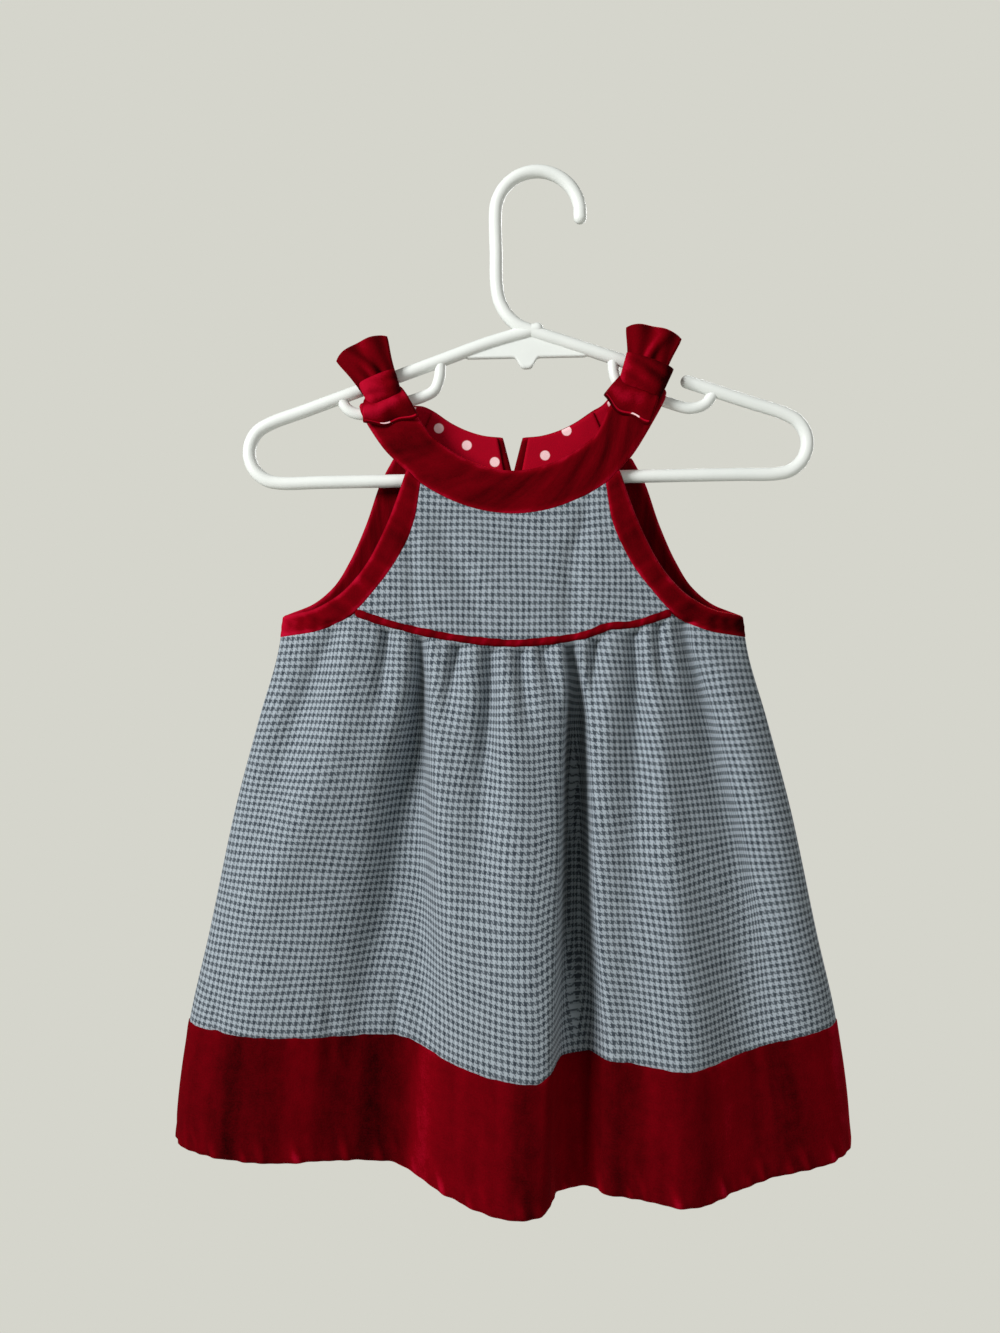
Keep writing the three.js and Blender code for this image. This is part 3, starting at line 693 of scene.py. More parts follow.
@dataclass
class Wardrobe:
    """The finishes, each made once, and the dressing of pieces with them."""

    tweed: CheckTweed = CheckTweed()
    velveteen: Velveteen = Velveteen()
    cotton: DottedCotton = DottedCotton()
    plastic: MouldedPlastic = MouldedPlastic()
    made: dict[str, bpy.types.Material] = field(default_factory=dict)

    def dress(self, piece: bpy.types.Object, finish: Any, inside: Any = None) -> None:
        """Gives a piece its finish and its place in the frame.

        Args:
            piece: finished mesh object, named as the node it replaces.
            finish: finish of the piece.
            inside: finish of its inner face, where that differs.
        """
        for one in (finish, inside):
            if one is None:
                continue
            if one.slot not in self.made:
                self.made[one.slot] = one.material()
            piece.data.materials.append(self.made[one.slot])
        node = piece.name.removesuffix(PIECE)
        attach(piece, "root")
        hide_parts(node)
        log.info("%s: %d faces in %s", node, len(piece.data.polygons), finish.slot)


# Surface of the garment


@dataclass(frozen=True)
class Fold:
    """Fold, gather or crease of the skirt, traced down the cloth.

    Rows hold a level, the fold's distance from the middle of the dress there,
    its width to the left and to the right, and its lift: a ridge is positive
    and a trough negative. Across, it is a bell, squarer the sharper it is.
    """

    rows: tuple[tuple[float, ...], ...]
    sharp: float = 2.0

    def at(self, z: Array) -> Array:
        """Distance of the fold from the middle of the dress at a level."""
        return Reading.of(self.rows, 1)(z)

    def lift(self, x: Array, z: Array) -> Array:
        """Lift of the cloth at places across and up the skirt.

        Args:
            x: distance from the middle of the dress.
            z: level.

        Returns:
            The lift outwards, in millimetres.
        """
        left, right, height = (Reading.of(self.rows, k)(z) for k in (2, 3, 4))
        away = x - self.at(z)
        return height * np.exp(-(np.abs(away / np.where(away < 0, left, right)) ** self.sharp))


def gather(x: float, lean: float, depth: float, width: float, reach: float) -> Fold:
    """Small gather that runs down from the waist seam and fades out.

    Args:
        x: its distance from the middle of the dress at the seam.
        lean: how far it moves across on its way down.
        depth: depth at the seam.
        width: half its width at the seam.
        reach: its length.

    Returns:
        The traced gather.
    """
    # Share of the reach, then shares of the width and of the depth there
    shares = ((0.0, 1.0, 1.0), (0.4, 1.2, 0.75), (1.0, 1.7, 0.0))
    rows = ((GATHER_Z - reach * d, x + lean * d, width * w, width * w, -depth * h) for d, w, h in shares)
    return Fold(tuple(rows))


# Rings of the garment: level, half-width, depth of front and back, squareness
RINGS = (
    (-560, 179.6, 27.0, 15.0, 8.0),
    (-516, 178.6, 26.0, 14.5, 8.0),
    (-498, 177.8, 25.5, 14.5, 8.0),
    (-450, 171.6, 24.0, 14.0, 7.5),
    (-402, 161.0, 22.0, 13.0, 7.0),
    (-338, 147.6, 19.0, 12.0, 6.0),
    (-290, 135.0, 16.5, 11.0, 4.5),
    (-250, 124.0, 14.0, 10.0, 3.2),
    (-232, 121.8, 13.0, 9.6, 3.0),
    (-200, 121.8, 11.0, 9.2, 3.0),
    (-160, 121.8, 9.0, 8.8, 3.0),
    (-138, 121.8, 7.4, 8.2, 3.0),
    (-118, 121.8, 5.6, 5.6, 3.0),
    (-100, 121.8, 5.6, 5.6, 3.0),
)

# Creases that part the front into panels, each with its own straight grain
LEFT_CREASE = Fold(
    (
        (-246, -48.5, 4, 3, -7),
        (-273, -48.0, 6, 4, -12),
        (-294, -48.0, 10, 4.5, -14),
        (-330, -48.0, 21, 6, -17),
        (-382, -47.5, 33, 8, -17),
        (-433, -49.0, 43, 14, -14),
        (-540, -58.0, 44, 30, -9),
    )
)
DEEP_CREASE = Fold(
    (
        (-248, 29.0, 3, 4, -7),
        (-268, 31.5, 4, 5, -11),
        (-290, 33.0, 6, 6, -21),
        (-330, 33.0, 7.5, 7, -27),
        (-382, 32.5, 8.5, 8.5, -28),
        (-433, 31.8, 10, 12.5, -23),
        (-470, 31.2, 11, 15, -17.5),
        (-540, 29.5, 12, 16, -14),
    ),
    5.0,
)
RIGHT_CREASE = Fold(
    (
        (-243, 90.0, 5, 6, -6),
        (-268, 98.0, 9, 8, -10),
        (-291, 105.0, 11, 10, -12),
        (-317, 111.0, 13, 12, -12),
        (-356, 120.0, 16, 14, -11),
        (-408, 128.0, 21, 18, -9),
        (-540, 136.0, 26, 22, -6),
    )
)

FOLDS = {
    Face.FRONT: (
        LEFT_CREASE,
        DEEP_CREASE,
        RIGHT_CREASE,
        # Ridge that runs out to the left side seam, and the trough beside it
        Fold(
            (
                (-245, -88, 8, 8, 2),
                (-278, -90, 10, 12, 4),
                (-310, -98, 14, 14, 5),
                (-372, -126, 16, 18, 4),
                (-420, -150, 12, 16, 0),
            )
        ),
        Fold(
            (
                (-240, -92, 6, 6, -4),
                (-262, -103, 8, 8, -6.5),
                (-300, -118, 10, 9, -6),
                (-335, -128, 12, 10, -3),
                (-365, -136, 12, 12, 0),
            )
        ),
        # Steep line inside the left crease
        Fold(
            (
                (-262, -50, 5, 6, 0),
                (-294, -53, 6, 8, -4),
                (-330, -60, 8, 10, -6),
                (-382, -67, 10, 14, -6),
                (-433, -75, 12, 18, -4),
                (-480, -80, 14, 20, 0),
            )
        ),
        # Broad centre panel with its sharp left edge, and its lobe at the hem
        Fold(
            (
                (-250, -10, 33, 34, 0),
                (-290, -9.5, 36, 35, 5),
                (-382, -10, 36, 35, 5),
                (-470, -6, 40, 32, 0),
            ),
            8.0,
        ),
        Fold(((-250, 4, 28, 34, 0), (-395, 5, 32, 34, 8), (-470, 5, 35, 27, 13.5), (-540, 5.4, 36, 22, 17))),
        Fold(
            (
                (-248, -12, 4, 4, -6),
                (-279, -12, 5.5, 4.5, -8.5),
                (-330, -14.5, 9, 6, -5),
                (-395, -16, 11, 8, 0),
            )
        ),
        Fold(((-258, -4, 6, 9, 0), (-290, -2, 8, 12, 3), (-400, 3, 12, 16, 3), (-470, 6, 16, 16, 0))),
        # Ridges and trough between the deep and the right crease
        Fold(((-250, 48, 5, 5, 1), (-300, 48, 6, 7, 3), (-420, 50, 10, 10, 2), (-480, 52, 12, 12, 0))),
        Fold(
            (
                (-245, 63.5, 4.5, 4.5, -6),
                (-268, 65, 5.5, 5, -7),
                (-304, 66, 7, 6, -4.5),
                (-390, 66, 9, 8, 0),
            )
        ),
        Fold(
            (
                (-250, 70, 5, 6, 1),
                (-300, 75, 8, 9, 4),
                (-356, 80, 12, 12, 6),
                (-470, 86, 20, 20, 10),
                (-540, 88, 22, 22, 11),
            )
        ),
        # Low ridges beside the side seams
        Fold(((-390, -128, 14, 14, 0), (-440, -134, 14, 16, 3), (-540, -125, 26, 24, 3))),
        Fold(((-250, 108, 10, 8, 0), (-330, 122, 14, 12, 3), (-400, 136, 16, 14, 3), (-540, 153, 18, 18, 3))),
        gather(-66.5, -4, 6.2, 3.8, 46),
        gather(-28, -9, 6.4, 3.6, 54),
        gather(3, 5, 6.4, 3.6, 56),
        gather(14.5, 7, 5.6, 3.3, 36),
        gather(44, -4, 6.4, 3.6, 50),
        gather(76, 3, 5, 3.3, 32),
        # Small pulls above the band's seam
        Fold(
            (
                (-420, -154, 4, 4, 0),
                (-442, -154, 4, 4, -1.6),
                (-462, -154, 4, 4, -1),
                (-480, -154, 4, 4, 0),
            )
        ),
        Fold(((-420, -95, 4, 4, 0), (-442, -95, 4, 4, -1.6), (-462, -95, 4, 4, -1), (-480, -95, 4, 4, 0))),
        Fold(((-415, -61, 4, 4, 0), (-442, -61, 4, 4, -1.8), (-462, -62, 4, 4, -1), (-480, -62, 4, 4, 0))),
    ),
    Face.BACK: (
        Fold(
            (
                (-246, -72, 5, 5, -3),
                (-290, -76, 10, 8, -5),
                (-395, -90, 19, 15, -6),
                (-540, -98, 24, 20, -6),
            )
        ),
        Fold(((-250, -31, 20, 20, 0), (-395, -34, 25, 24, 4), (-540, -36, 30, 28, 7))),
        Fold(((-246, 15, 4, 4, -4), (-290, 17, 8, 8, -6), (-395, 24, 12, 14, -7), (-540, 29, 16, 20, -7))),
        Fold(((-250, 56, 18, 18, 0), (-395, 75, 23, 22, 4), (-540, 86, 28, 26, 6))),
        Fold(((-244, 84, 5, 5, -3), (-290, 92, 9, 8, -4), (-395, 115, 14, 13, -4), (-540, 132, 18, 16, -5))),
        gather(-58, -4, 3.6, 3.6, 45),
        gather(-47, -3, 4.4, 3.4, 60),
        gather(-36, 1, 3.2, 3.2, 34),
        gather(-25, -3, 4.2, 3.6, 70),
        gather(-14, 2, 3.4, 3.2, 36),
        gather(-3, 0, 4.4, 3.6, 56),
        gather(27, 3, 4.2, 3.4, 52),
        gather(38, 2, 3.2, 3.2, 34),
        gather(49, 5, 4.4, 3.6, 66),
        gather(61, 2, 3.4, 3.4, 38),
        gather(71, 4, 3.6, 3.6, 48),
    ),
}

# Soft pulls of the bodice
PULLS = {
    Face.FRONT: (
        Fold(
            (
                (-186, -54, 3, 3, 0),
                (-200, -53.5, 3.5, 4, -1.5),
                (-228, -52.5, 3.5, 4, -1.5),
                (-250, -52, 3.5, 4, 0),
            )
        ),
        Fold(
            (
                (-178, -40, 8, 8, 0),
                (-190, -36, 9, 7, -1.8),
                (-207, -29, 9, 7, -2.2),
                (-226, -21, 8, 6, -1.4),
                (-246, -16, 7, 6, 0),
            )
        ),
        Fold(((-176, 1, 5, 5, 0), (-192, 2, 6, 5, -0.6), (-215, 4, 6, 5, 0))),
        Fold(
            (
                (-172, 39, 4, 4, -0.6),
                (-184, 37.5, 4.5, 5, -1.8),
                (-205, 31, 5, 6, -2.4),
                (-237, 29.7, 5, 6, -2),
                (-252, 29, 4, 5, 0),
            )
        ),
        Fold(((-200, 61, 5, 5, 0), (-218, 62, 6, 6, -0.8), (-238, 64, 6, 6, 0))),
    ),
    Face.BACK: (
        Fold(((-175, -38, 8, 8, 0), (-205, -34, 9, 8, -1.6), (-240, -30, 8, 8, 0))),
        Fold(((-180, 30, 7, 7, 0), (-210, 34, 8, 8, -1.4), (-244, 38, 8, 8, 0))),
    ),
}

# Slow waves of the cloth, its threads and its pile: period across, along, phase and height
UNEVEN = ((67, 410, 0.4, 0.35), (41, -290, 2.1, 0.22), (96, 180, 4.0, 0.35))
WANDER = ((61, 97, 0.7, 0.5), (38, -71, 2.6, 0.3), (123, 160, 4.4, 0.8))
BRUSHED = ((52, 800, 0.3, 0.06), (23, -400, 1.9, 0.05), (11, 900, 3.0, 0.03))
HEM_BRUSHED = ((52, 800, 0.3, 0.03), (23, -400, 1.9, 0.03), (11, 900, 3.0, 0.02))
HEM_TUCKS = ((8.5, 24, 0.2, 0.28), (13.0, 38, 1.3, 0.3), (21.0, -90, 2.2, 0.35))
BAND_PULLS = ((19, 31, 0.5, 0.22), (-26, 17, 2.0, 0.16))
BAND_EASE = ((6.5, 90, 0.4, 0.025), (11, -60, 1.7, 0.035), (29, 200, 3.1, 0.05))
BINDING_PULLS = ((9, 12, 0.2, 0.12), (-14, 23, 1.4, 0.14))
BINDING_EASE = ((7, 90, 0.9, 0.03), (13, -60, 2.7, 0.05))
CORD_SWELL = ((31, 900, 0.3, 0.12), (9, 700, 1.1, 0.1))
CORD_LIE = ((17, 90, 0.6, 0.12), (6, 50, 2.0, 0.1))

# Flat cuts that show: width and length in millimetres, share of that rectangle
CUTS = {
    "skirt_front": (470, 222, 0.8),
    "skirt_back": (380, 222, 0.8),
    "hem_band_front": (440, 67, 0.95),
    "hem_band_back": (390, 67, 0.96),
    "front_yoke": (172, 78, 0.68),
    "back_yoke": (84, 90, 0.785),
    "front_neckband": (236, 32, 0.64),
    "back_neckband": (98, 30, 0.83),
    "neck_facing": (54, 25, 0.92),
    "armhole_binding": (272, 13, 0.97),
    "bow_upper": (31, 26, 0.84),
}


@dataclass(frozen=True)
class Garment:
    """Surface that every sewn piece lies on.

    Rings run round the body: turn 0 is the front middle, a quarter turn the
    right side seam and half a turn the back middle. A point lies at the sine of
    its turn across the ring's half-width, and at the ring's depth, lifted by
    folds, gathers and creases, times a squared-off fall to the side seam.
    """

    half: Reading = Reading.of(RINGS, 1)
    front: Reading = Reading.of(RINGS, 2)
    back: Reading = Reading.of(RINGS, 3)
    square: Reading = Reading.of(RINGS, 4)
    # Gathered edge: its lowest level, its rise to the ends, where they are and how it curves
    gathered_z: Mapping[Face, float] = field(
        default_factory=lambda: {Face.FRONT: -250.6, Face.BACK: -244.6}
    )
    gathered_rise: float = 16.0
    gathered_half: float = 0.68
    gathered_curve: float = 1.7
    # Fine puckers below it, the dip into it, and how far down folds and unevenness set in
    pucker: float = 0.35
    pucker_step: float = 1.15
    pucker_reach: float = 9.0
    seam_dip: float = 0.6
    dip_reach: float = 1.4
    dip_half: float = 0.7
    dip_fade: float = 0.05
    fold_fade: float = 3.0
    uneven_fade: float = 40.0
    # Small steps that the normals are taken over
    turn_step: float = 0.006
    level_step: float = 0.5

    def lift(self, s: Array, z: Array, face: Face) -> Array:
        """Lift of the cloth off its ring.

        The traced folds and fine puckers below the waist seam, the pulls of
        the bodice, and slow unevenness of the skirt.

        Args:
            s: share of the half-width across.
            z: level.
            face: front or back.

        Returns:
            The lift outwards, in millimetres.
        """
        x = s * self.half(z)
        off = self.waistline(s, face) - z
        under = np.maximum(off, 0)
        total = self.pucker * np.sin(x / self.pucker_step) * np.exp(-under / self.pucker_reach)
        for fold in FOLDS[face]:
            total = total + fold.lift(x, z)
        total = total * smoothstep(under, 0, self.fold_fade)
        for pull in PULLS[face]:
            total = total + pull.lift(x, z)
        # The cloth dips into the waist seam
        dip = self.seam_dip * np.exp(-((off / self.dip_reach) ** 2))
        dip = dip * smoothstep(self.dip_half - np.abs(s), 0, self.dip_fade)
        return total - dip + ripple(x, z, UNEVEN) * smoothstep(under, 0, self.uneven_fade)

    def waistline(self, s: Array, face: Face) -> Array:
        """Level of the gathered edge, lowest at the middle."""
        share = np.minimum(1, np.abs(s) / self.gathered_half)
        return self.gathered_z[face] + self.gathered_rise * share**self.gathered_curve

    def point(self, turn: Array, z: Array) -> Array:
        """Points of the surface.

        Args:
            turn: turn round the body, in radians.
            z: level.

        Returns:
            Points, in millimetres.
        """
        s = np.sin(turn)
        fall = np.sqrt(np.maximum(0, 1 - np.abs(s) ** self.square(z)))
        front = -(self.front(z) + self.lift(s, z, Face.FRONT))
        back = self.back(z) + self.lift(s, z, Face.BACK)
        depth = np.where(np.cos(turn) >= 0, front, back) * fall
        return np.stack(np.broadcast_arrays(DRESS_X + s * self.half(z), depth, z), axis=-1)

    def normal(self, turn: Array, z: Array) -> Array:
        """Outward unit normals, from small steps round and up the surface.

        Args:
            turn: turn round the body, in radians.
            z: level.

        Returns:
            The normals.
        """
        across = self.point(turn + self.turn_step, z) - self.point(turn - self.turn_step, z)
        up = self.point(turn, z + self.level_step) - self.point(turn, z - self.level_step)
        return unit(np.cross(across, up))

    def turn_at(self, x: Array, face: Face) -> Array:
        """Turn that lies a distance from the middle on one face."""
        turn = np.arcsin(np.asarray(x) / HALF_CHEST)
        return math.pi - turn if face is Face.BACK else turn


# Armhole binding from the front strap round to the back strap: row number,
# then turn in degrees and level of its free edge and of its seam
BINDING = (
    (0, 27.2, -158.2, 23.8, -164.8),
    (1, 30.0, -174.0, 25.2, -182.0),
    (2, 34.2, -192.5, 29.5, -202.0),
    (3, 40.8, -212.0, 36.5, -220.0),
    (4, 50.6, -226.0, 45.0, -234.0),
    (5, 64.0, -232.8, 61.0, -243.0),
    (6, 90.0, -234.8, 90.0, -245.2),
    (7, 115.0, -230.0, 119.0, -242.0),
    (8, 127.5, -219.5, 134.0, -232.0),
    (9, 134.2, -205.0, 141.2, -213.5),
    (10, 140.0, -184.5, 146.7, -190.0),
    (11, 144.4, -163.0, 150.5, -168.0),
    (12, 148.4, -149.2, 152.1, -155.2),
)


@dataclass(frozen=True)
class Pattern:
    """Seam lines of the garment, shared by the pieces that meet at them."""

    edge: Reading = Reading.of(BINDING, 1)
    edge_z: Reading = Reading.of(BINDING, 2)
    seam: Reading = Reading.of(BINDING, 3)
    seam_z: Reading = Reading.of(BINDING, 4)
    last: float = 12.0
    underarm: float = 6.0
    waist_at: Mapping[Face, float] = field(default_factory=lambda: {Face.FRONT: 3.75, Face.BACK: 8.25})
    sag: float = 16.0
    curve: float = 1.6
    # Where a tight gather pulls the front seam up: height, share across, half-width as a share
    pulled_up: tuple[float, float, float] = (2.2, 0.57, 0.11)
    # Rows past the waist seam's end at which the skirt follows the binding
    past_waist: Mapping[Face, float] = field(default_factory=lambda: {Face.FRONT: 0.5, Face.BACK: -0.25})

    def waist(self, q: Array, face: Face) -> Array:
        """Level of the waist seam at a share of the yoke's half-width.

        Args:
            q: share of the half-width, from -1 to 1.
            face: front or back.

        Returns:
            The level.
        """
        end = self.seam_z(self.waist_at[face])
        level = lerp(end - self.sag, end, np.abs(q) ** self.curve)
        if face is Face.BACK:
            return level
        height, at, half = self.pulled_up
        return level + height * np.exp(-(((np.asarray(q) - at) / half) ** 2))

    def clear(self, t: Array, face: Face) -> Array:
        """Turn of the binding's seam, held clear of it by the seam gap.

        Args:
            t: place along the binding, as a row number.
            face: front or back.

        Returns:
            The turn from the middle of that face, in radians.
        """
        turn = np.radians(self.seam(t))
        gap = 2 * SEAM / HALF_CHEST
        return turn - gap if face is Face.FRONT else math.pi - turn - gap

    def skirt_top(self, turn: Array, face: Face) -> Array:
        """Level of the skirt's upper edge on one face.

        Args:
            turn: turn from the middle of that face, in radians.
            face: front or back.

        Returns:
            The waist seam's level under the yoke, and the binding's beyond it.
        """
        at = self.waist_at[face]
        reach = float(self.clear(at, face))
        gap = 1.4 * SEAM
        below = 2 * (PIPING_RADIUS + SEAM) if face is Face.FRONT else gap
        along = np.linspace(at + self.past_waist[face], self.underarm, 40)
        side = np.radians(self.seam(along))
        side = side if face is Face.FRONT else math.pi - side
        under = np.abs(turn) <= reach
        beyond = np.interp(
            np.abs(turn),
            np.concatenate([[reach], side]),
            np.concatenate([[float(self.seam_z(at)) - below], self.seam_z(along) - gap]),
        )
        return np.where(under, self.waist(np.clip(turn / reach, -1, 1), face) - below, beyond)


BODY = Garment()
SEAMS = Pattern()

# Painted light that a sideways slope adds to the pile, and painted highlight that a turned edge adds
SLOPE_LIGHT = 0.8
EDGE_HIGHLIGHT = 0.42


def pile_lie(normals: Array, u: Array, v: Array, base: float) -> Array:
    """Pile brightness with painted light and shade: lighter where the cloth faces left, towards the key
    light, darker where it faces right.

    Args:
        normals: normals of the cloth.
        u: length across, in millimetres.
        v: length along, in millimetres.
        base: lie on flat cloth.

    Returns:
        Brightness from 0, darkest, to 1, brightest.
    """
    # Painted light and shade: cloth turned left, towards the key light, is lighter, and cloth turned right is
    # darker
    slope = -normals[..., 0] * SLOPE_LIGHT
    return np.clip(base + slope + ripple(u, v, BRUSHED), 0, 1)


def turned_edges(run: Array, reach: float = 1.4) -> Array:
    """Painted highlight where the cloth turns over its two long edges.

    Args:
        run: distance run from one edge to the other, by columns.
        reach: how far in the edge shows, in millimetres.

    Returns:
        The painted highlight, a bell at either edge.
    """
    inside = np.minimum(run, run[:, -1:] - run)
    # Painted highlight: a pale rim along both edges
    return EDGE_HIGHLIGHT * np.exp(-((inside / reach) ** 2))


# Skirt

# Painted light and shade of the hem band across the front and back, with its uneven pile: brighter where
# folds face the light, darker in the troughs
HEM_LIGHT_AND_PILE = {
    Face.FRONT: (
        (-1.0, 0.42),
        (-0.925, 0.36),
        (-0.84, 0.15),
        (-0.75, 0.21),
        (-0.62, 0.41),
        (-0.535, 0.22),
        (-0.45, 0.16),
        (-0.36, 0.14),
        (-0.315, 0.35),
        (-0.27, 0.64),
        (-0.18, 0.5),
        (-0.055, 0.42),
        (0.034, 0.2),
        (0.08, 0.45),
        (0.16, 0.5),
        (0.21, 0.6),
        (0.26, 0.32),
        (0.34, 0.24),
        (0.42, 0.39),
        (0.51, 0.32),
        (0.6, 0.6),
        (0.644, 0.58),
        (0.7, 0.27),
        (0.82, 0.22),
        (0.905, 0.47),
        (1.0, 0.75),
    ),
    Face.BACK: (
        (-1.0, 0.5),
        (-0.85, 0.24),
        (-0.65, 0.34),
        (-0.5, 0.16),
        (-0.32, 0.46),
        (-0.12, 0.4),
        (0.06, 0.2),
        (0.2, 0.36),
        (0.42, 0.52),
        (0.6, 0.26),
        (0.8, 0.34),
        (1.0, 0.6),
    ),
}


@dataclass
class Skirt:
    """One gathered skirt panel with the band sewn to its lower edge.

    The main creases part it into panels. Each panel is given by the share of the
    half-width where its middle lies, and its threads run straight down there.
    """

    face: Face
    hem_rows: tuple[tuple[float, float, float], ...]
    creases: tuple[Fold, ...]
    panels: tuple[float, ...]
    columns: int = 470
    rows: int = 100
    band_rows: int = 42
    gathered: int = 9
    crease_half: float = 4.0
    hem_tuck_reach: float = 9.0
    seam_tuck_reach: float = 6.0

    def build(self, wardrobe: Wardrobe) -> None:
        """Cuts, hangs and dresses the panel and its band.

        Args:
            wardrobe: the finishes.
        """
        word = self.face.name.lower()
        turn = np.linspace(-math.pi / 2, math.pi / 2, self.columns)[None]
        seam = Reading.of(self.hem_rows, 2)(np.sin(turn))
        hem = Reading.of(self.hem_rows, 1)(np.sin(turn))
        top = SEAMS.skirt_top(turn, self.face)
        down = np.linspace(0, 1, self.rows)[:, None]
        panel = self.piece(f"skirt_{word}", turn, lerp(top, seam + SEAM / 2, down**1.2), TWEED_WALL, seam)
        wardrobe.dress(panel, wardrobe.tweed)
        declare(panel, CUTS[f"skirt_{word}"])
        down = np.linspace(0, 1, self.band_rows)[:, None]
        band = self.piece(f"hem_band_{word}", turn, lerp(seam - SEAM / 2, hem, down), HEM_WALL, seam, hem)
        wardrobe.dress(band, wardrobe.velveteen)
        declare(band, CUTS[f"hem_band_{word}"])

    def piece(
        self, name: str, turn: Array, z: Array, wall: float, seam: Array, hem: Optional[Array] = None
    ) -> bpy.types.Object:
        """Shell of the panel or of its band.

        Args:
            name: node that it replaces.
            turn: turn of each column from the middle of the face.
            z: levels, rows by columns.
            wall: thickness of the cloth.
            seam: level of the seam between panel and band, by column.
            hem: level of the band's lower edge, for the band only.

        Returns:
            The finished shell.
        """
        depth = BODY.front(z) if self.face is Face.FRONT else BODY.back(z)
        limit = math.pi / 2 - 0.6 * SEAM / (depth * np.sqrt(BODY.square(z) / 2))
        held = np.clip(turn, -limit, limit)
        held = math.pi - held if self.face is Face.BACK else held
        grid, normals = BODY.point(held, z), BODY.normal(held, z)
        u = self.grain(run_along(grid, 1), grid[..., 0] - DRESS_X, z)
        if hem is None:
            # Threads run straight up into the gathers
            u[: self.gathered] = u[self.gathered]
        drop = np.clip((WAIST_Z - z) / (WAIST_Z - seam), 0, 1) ** 1.5
        v = z - (seam - np.mean(seam)) * drop
        # Threads of hung cloth wander a little from the straight
        u, v = u + ripple(u, v, WANDER), v + ripple(v, u, WANDER)
        nap = None
        if hem is not None:
            # Small puckers at the hem stitching and under the seam
            low = np.exp(-(((z - hem) / self.hem_tuck_reach) ** 2))
            high = np.exp(-(((seam - z) / self.seam_tuck_reach) ** 2))
            tucks = ripple(u, z, HEM_TUCKS)
            grid = grid + normals * (tucks * (low + 0.45 * high))[..., None]
            # Painted highlight on them, which shows as short lit strokes
            lit = 0.6 * np.maximum(tucks - 0.15, 0) * (low + 0.2 * high)
            nap = self.nap(np.sin(turn) + 0 * z, u, v) + lit
        cloth = Cloth(name, grid, normals, wall, np.stack([u, v], axis=-1), nap)
        return cloth.shell()

    def grain(self, run: Array, x: Array, z: Array) -> Array:
        """Length across the cloth, straight down the middle of every panel.

        Each panel between two main creases counts its own length from its
        middle column; what differs between two panels is taken up in the
        crease that parts them.

        Args:
            run: distance run across the hung cloth, rows by columns.
            x: distance from the middle of the dress.
            z: level.

        Returns:
            Length across, in millimetres.
        """
        middles = [round((math.asin(s) / math.pi + 0.5) * (self.columns - 1)) for s in self.panels]
        middle = self.columns // 2
        lengths = [run - run[:, [m]] + run[-1, m] - run[-1, middle] for m in middles]
        u = lengths[0]
        for crease, length in zip(self.creases, lengths[1:]):
            u = lerp(u, length, smoothstep(x - crease.at(z), -self.crease_half, self.crease_half))
        return u

    def nap(self, s: Array, u: Array, v: Array) -> Array:
        """Brightness of the band: painted light and shade placed across it, with slow waves of uneven pile.

        Args:
            s: share of the half-width across.
            u: length across, in millimetres.
            v: length along, in millimetres.

        Returns:
            Brightness from 0, darkest, to 1, brightest.
        """
        # Painted light and shade read from the table, with slow waves of uneven pile
        return np.clip(Reading.of(HEM_LIGHT_AND_PILE[self.face], 1)(s) + ripple(u, v, HEM_BRUSHED), 0, 1)


def declare(piece: bpy.types.Object, cut: Sequence[float]) -> None:
    """States the flat cut of a piece of cloth.

    Args:
        piece: the piece.
        cut: width and length of the cut in millimetres, and its share of that rectangle.
    """
    width, length, share = cut
    flat = (width * MM, length * MM)
    areas = np.empty(len(piece.data.polygons))
    piece.data.polygons.foreach_get("area", areas)
    # Half of a closed shell's area is the cloth's own
    hung, cut_area = areas.sum() / 2 * 1e4, flat[0] * flat[1] * share * 1e4
    log.info("%s: cut %.0f x %.0f mm", piece.name, width, length)
    log.info("%s: hung area %.1f cm2, cut area %.1f cm2", piece.name, hung, cut_area)


# Hanger


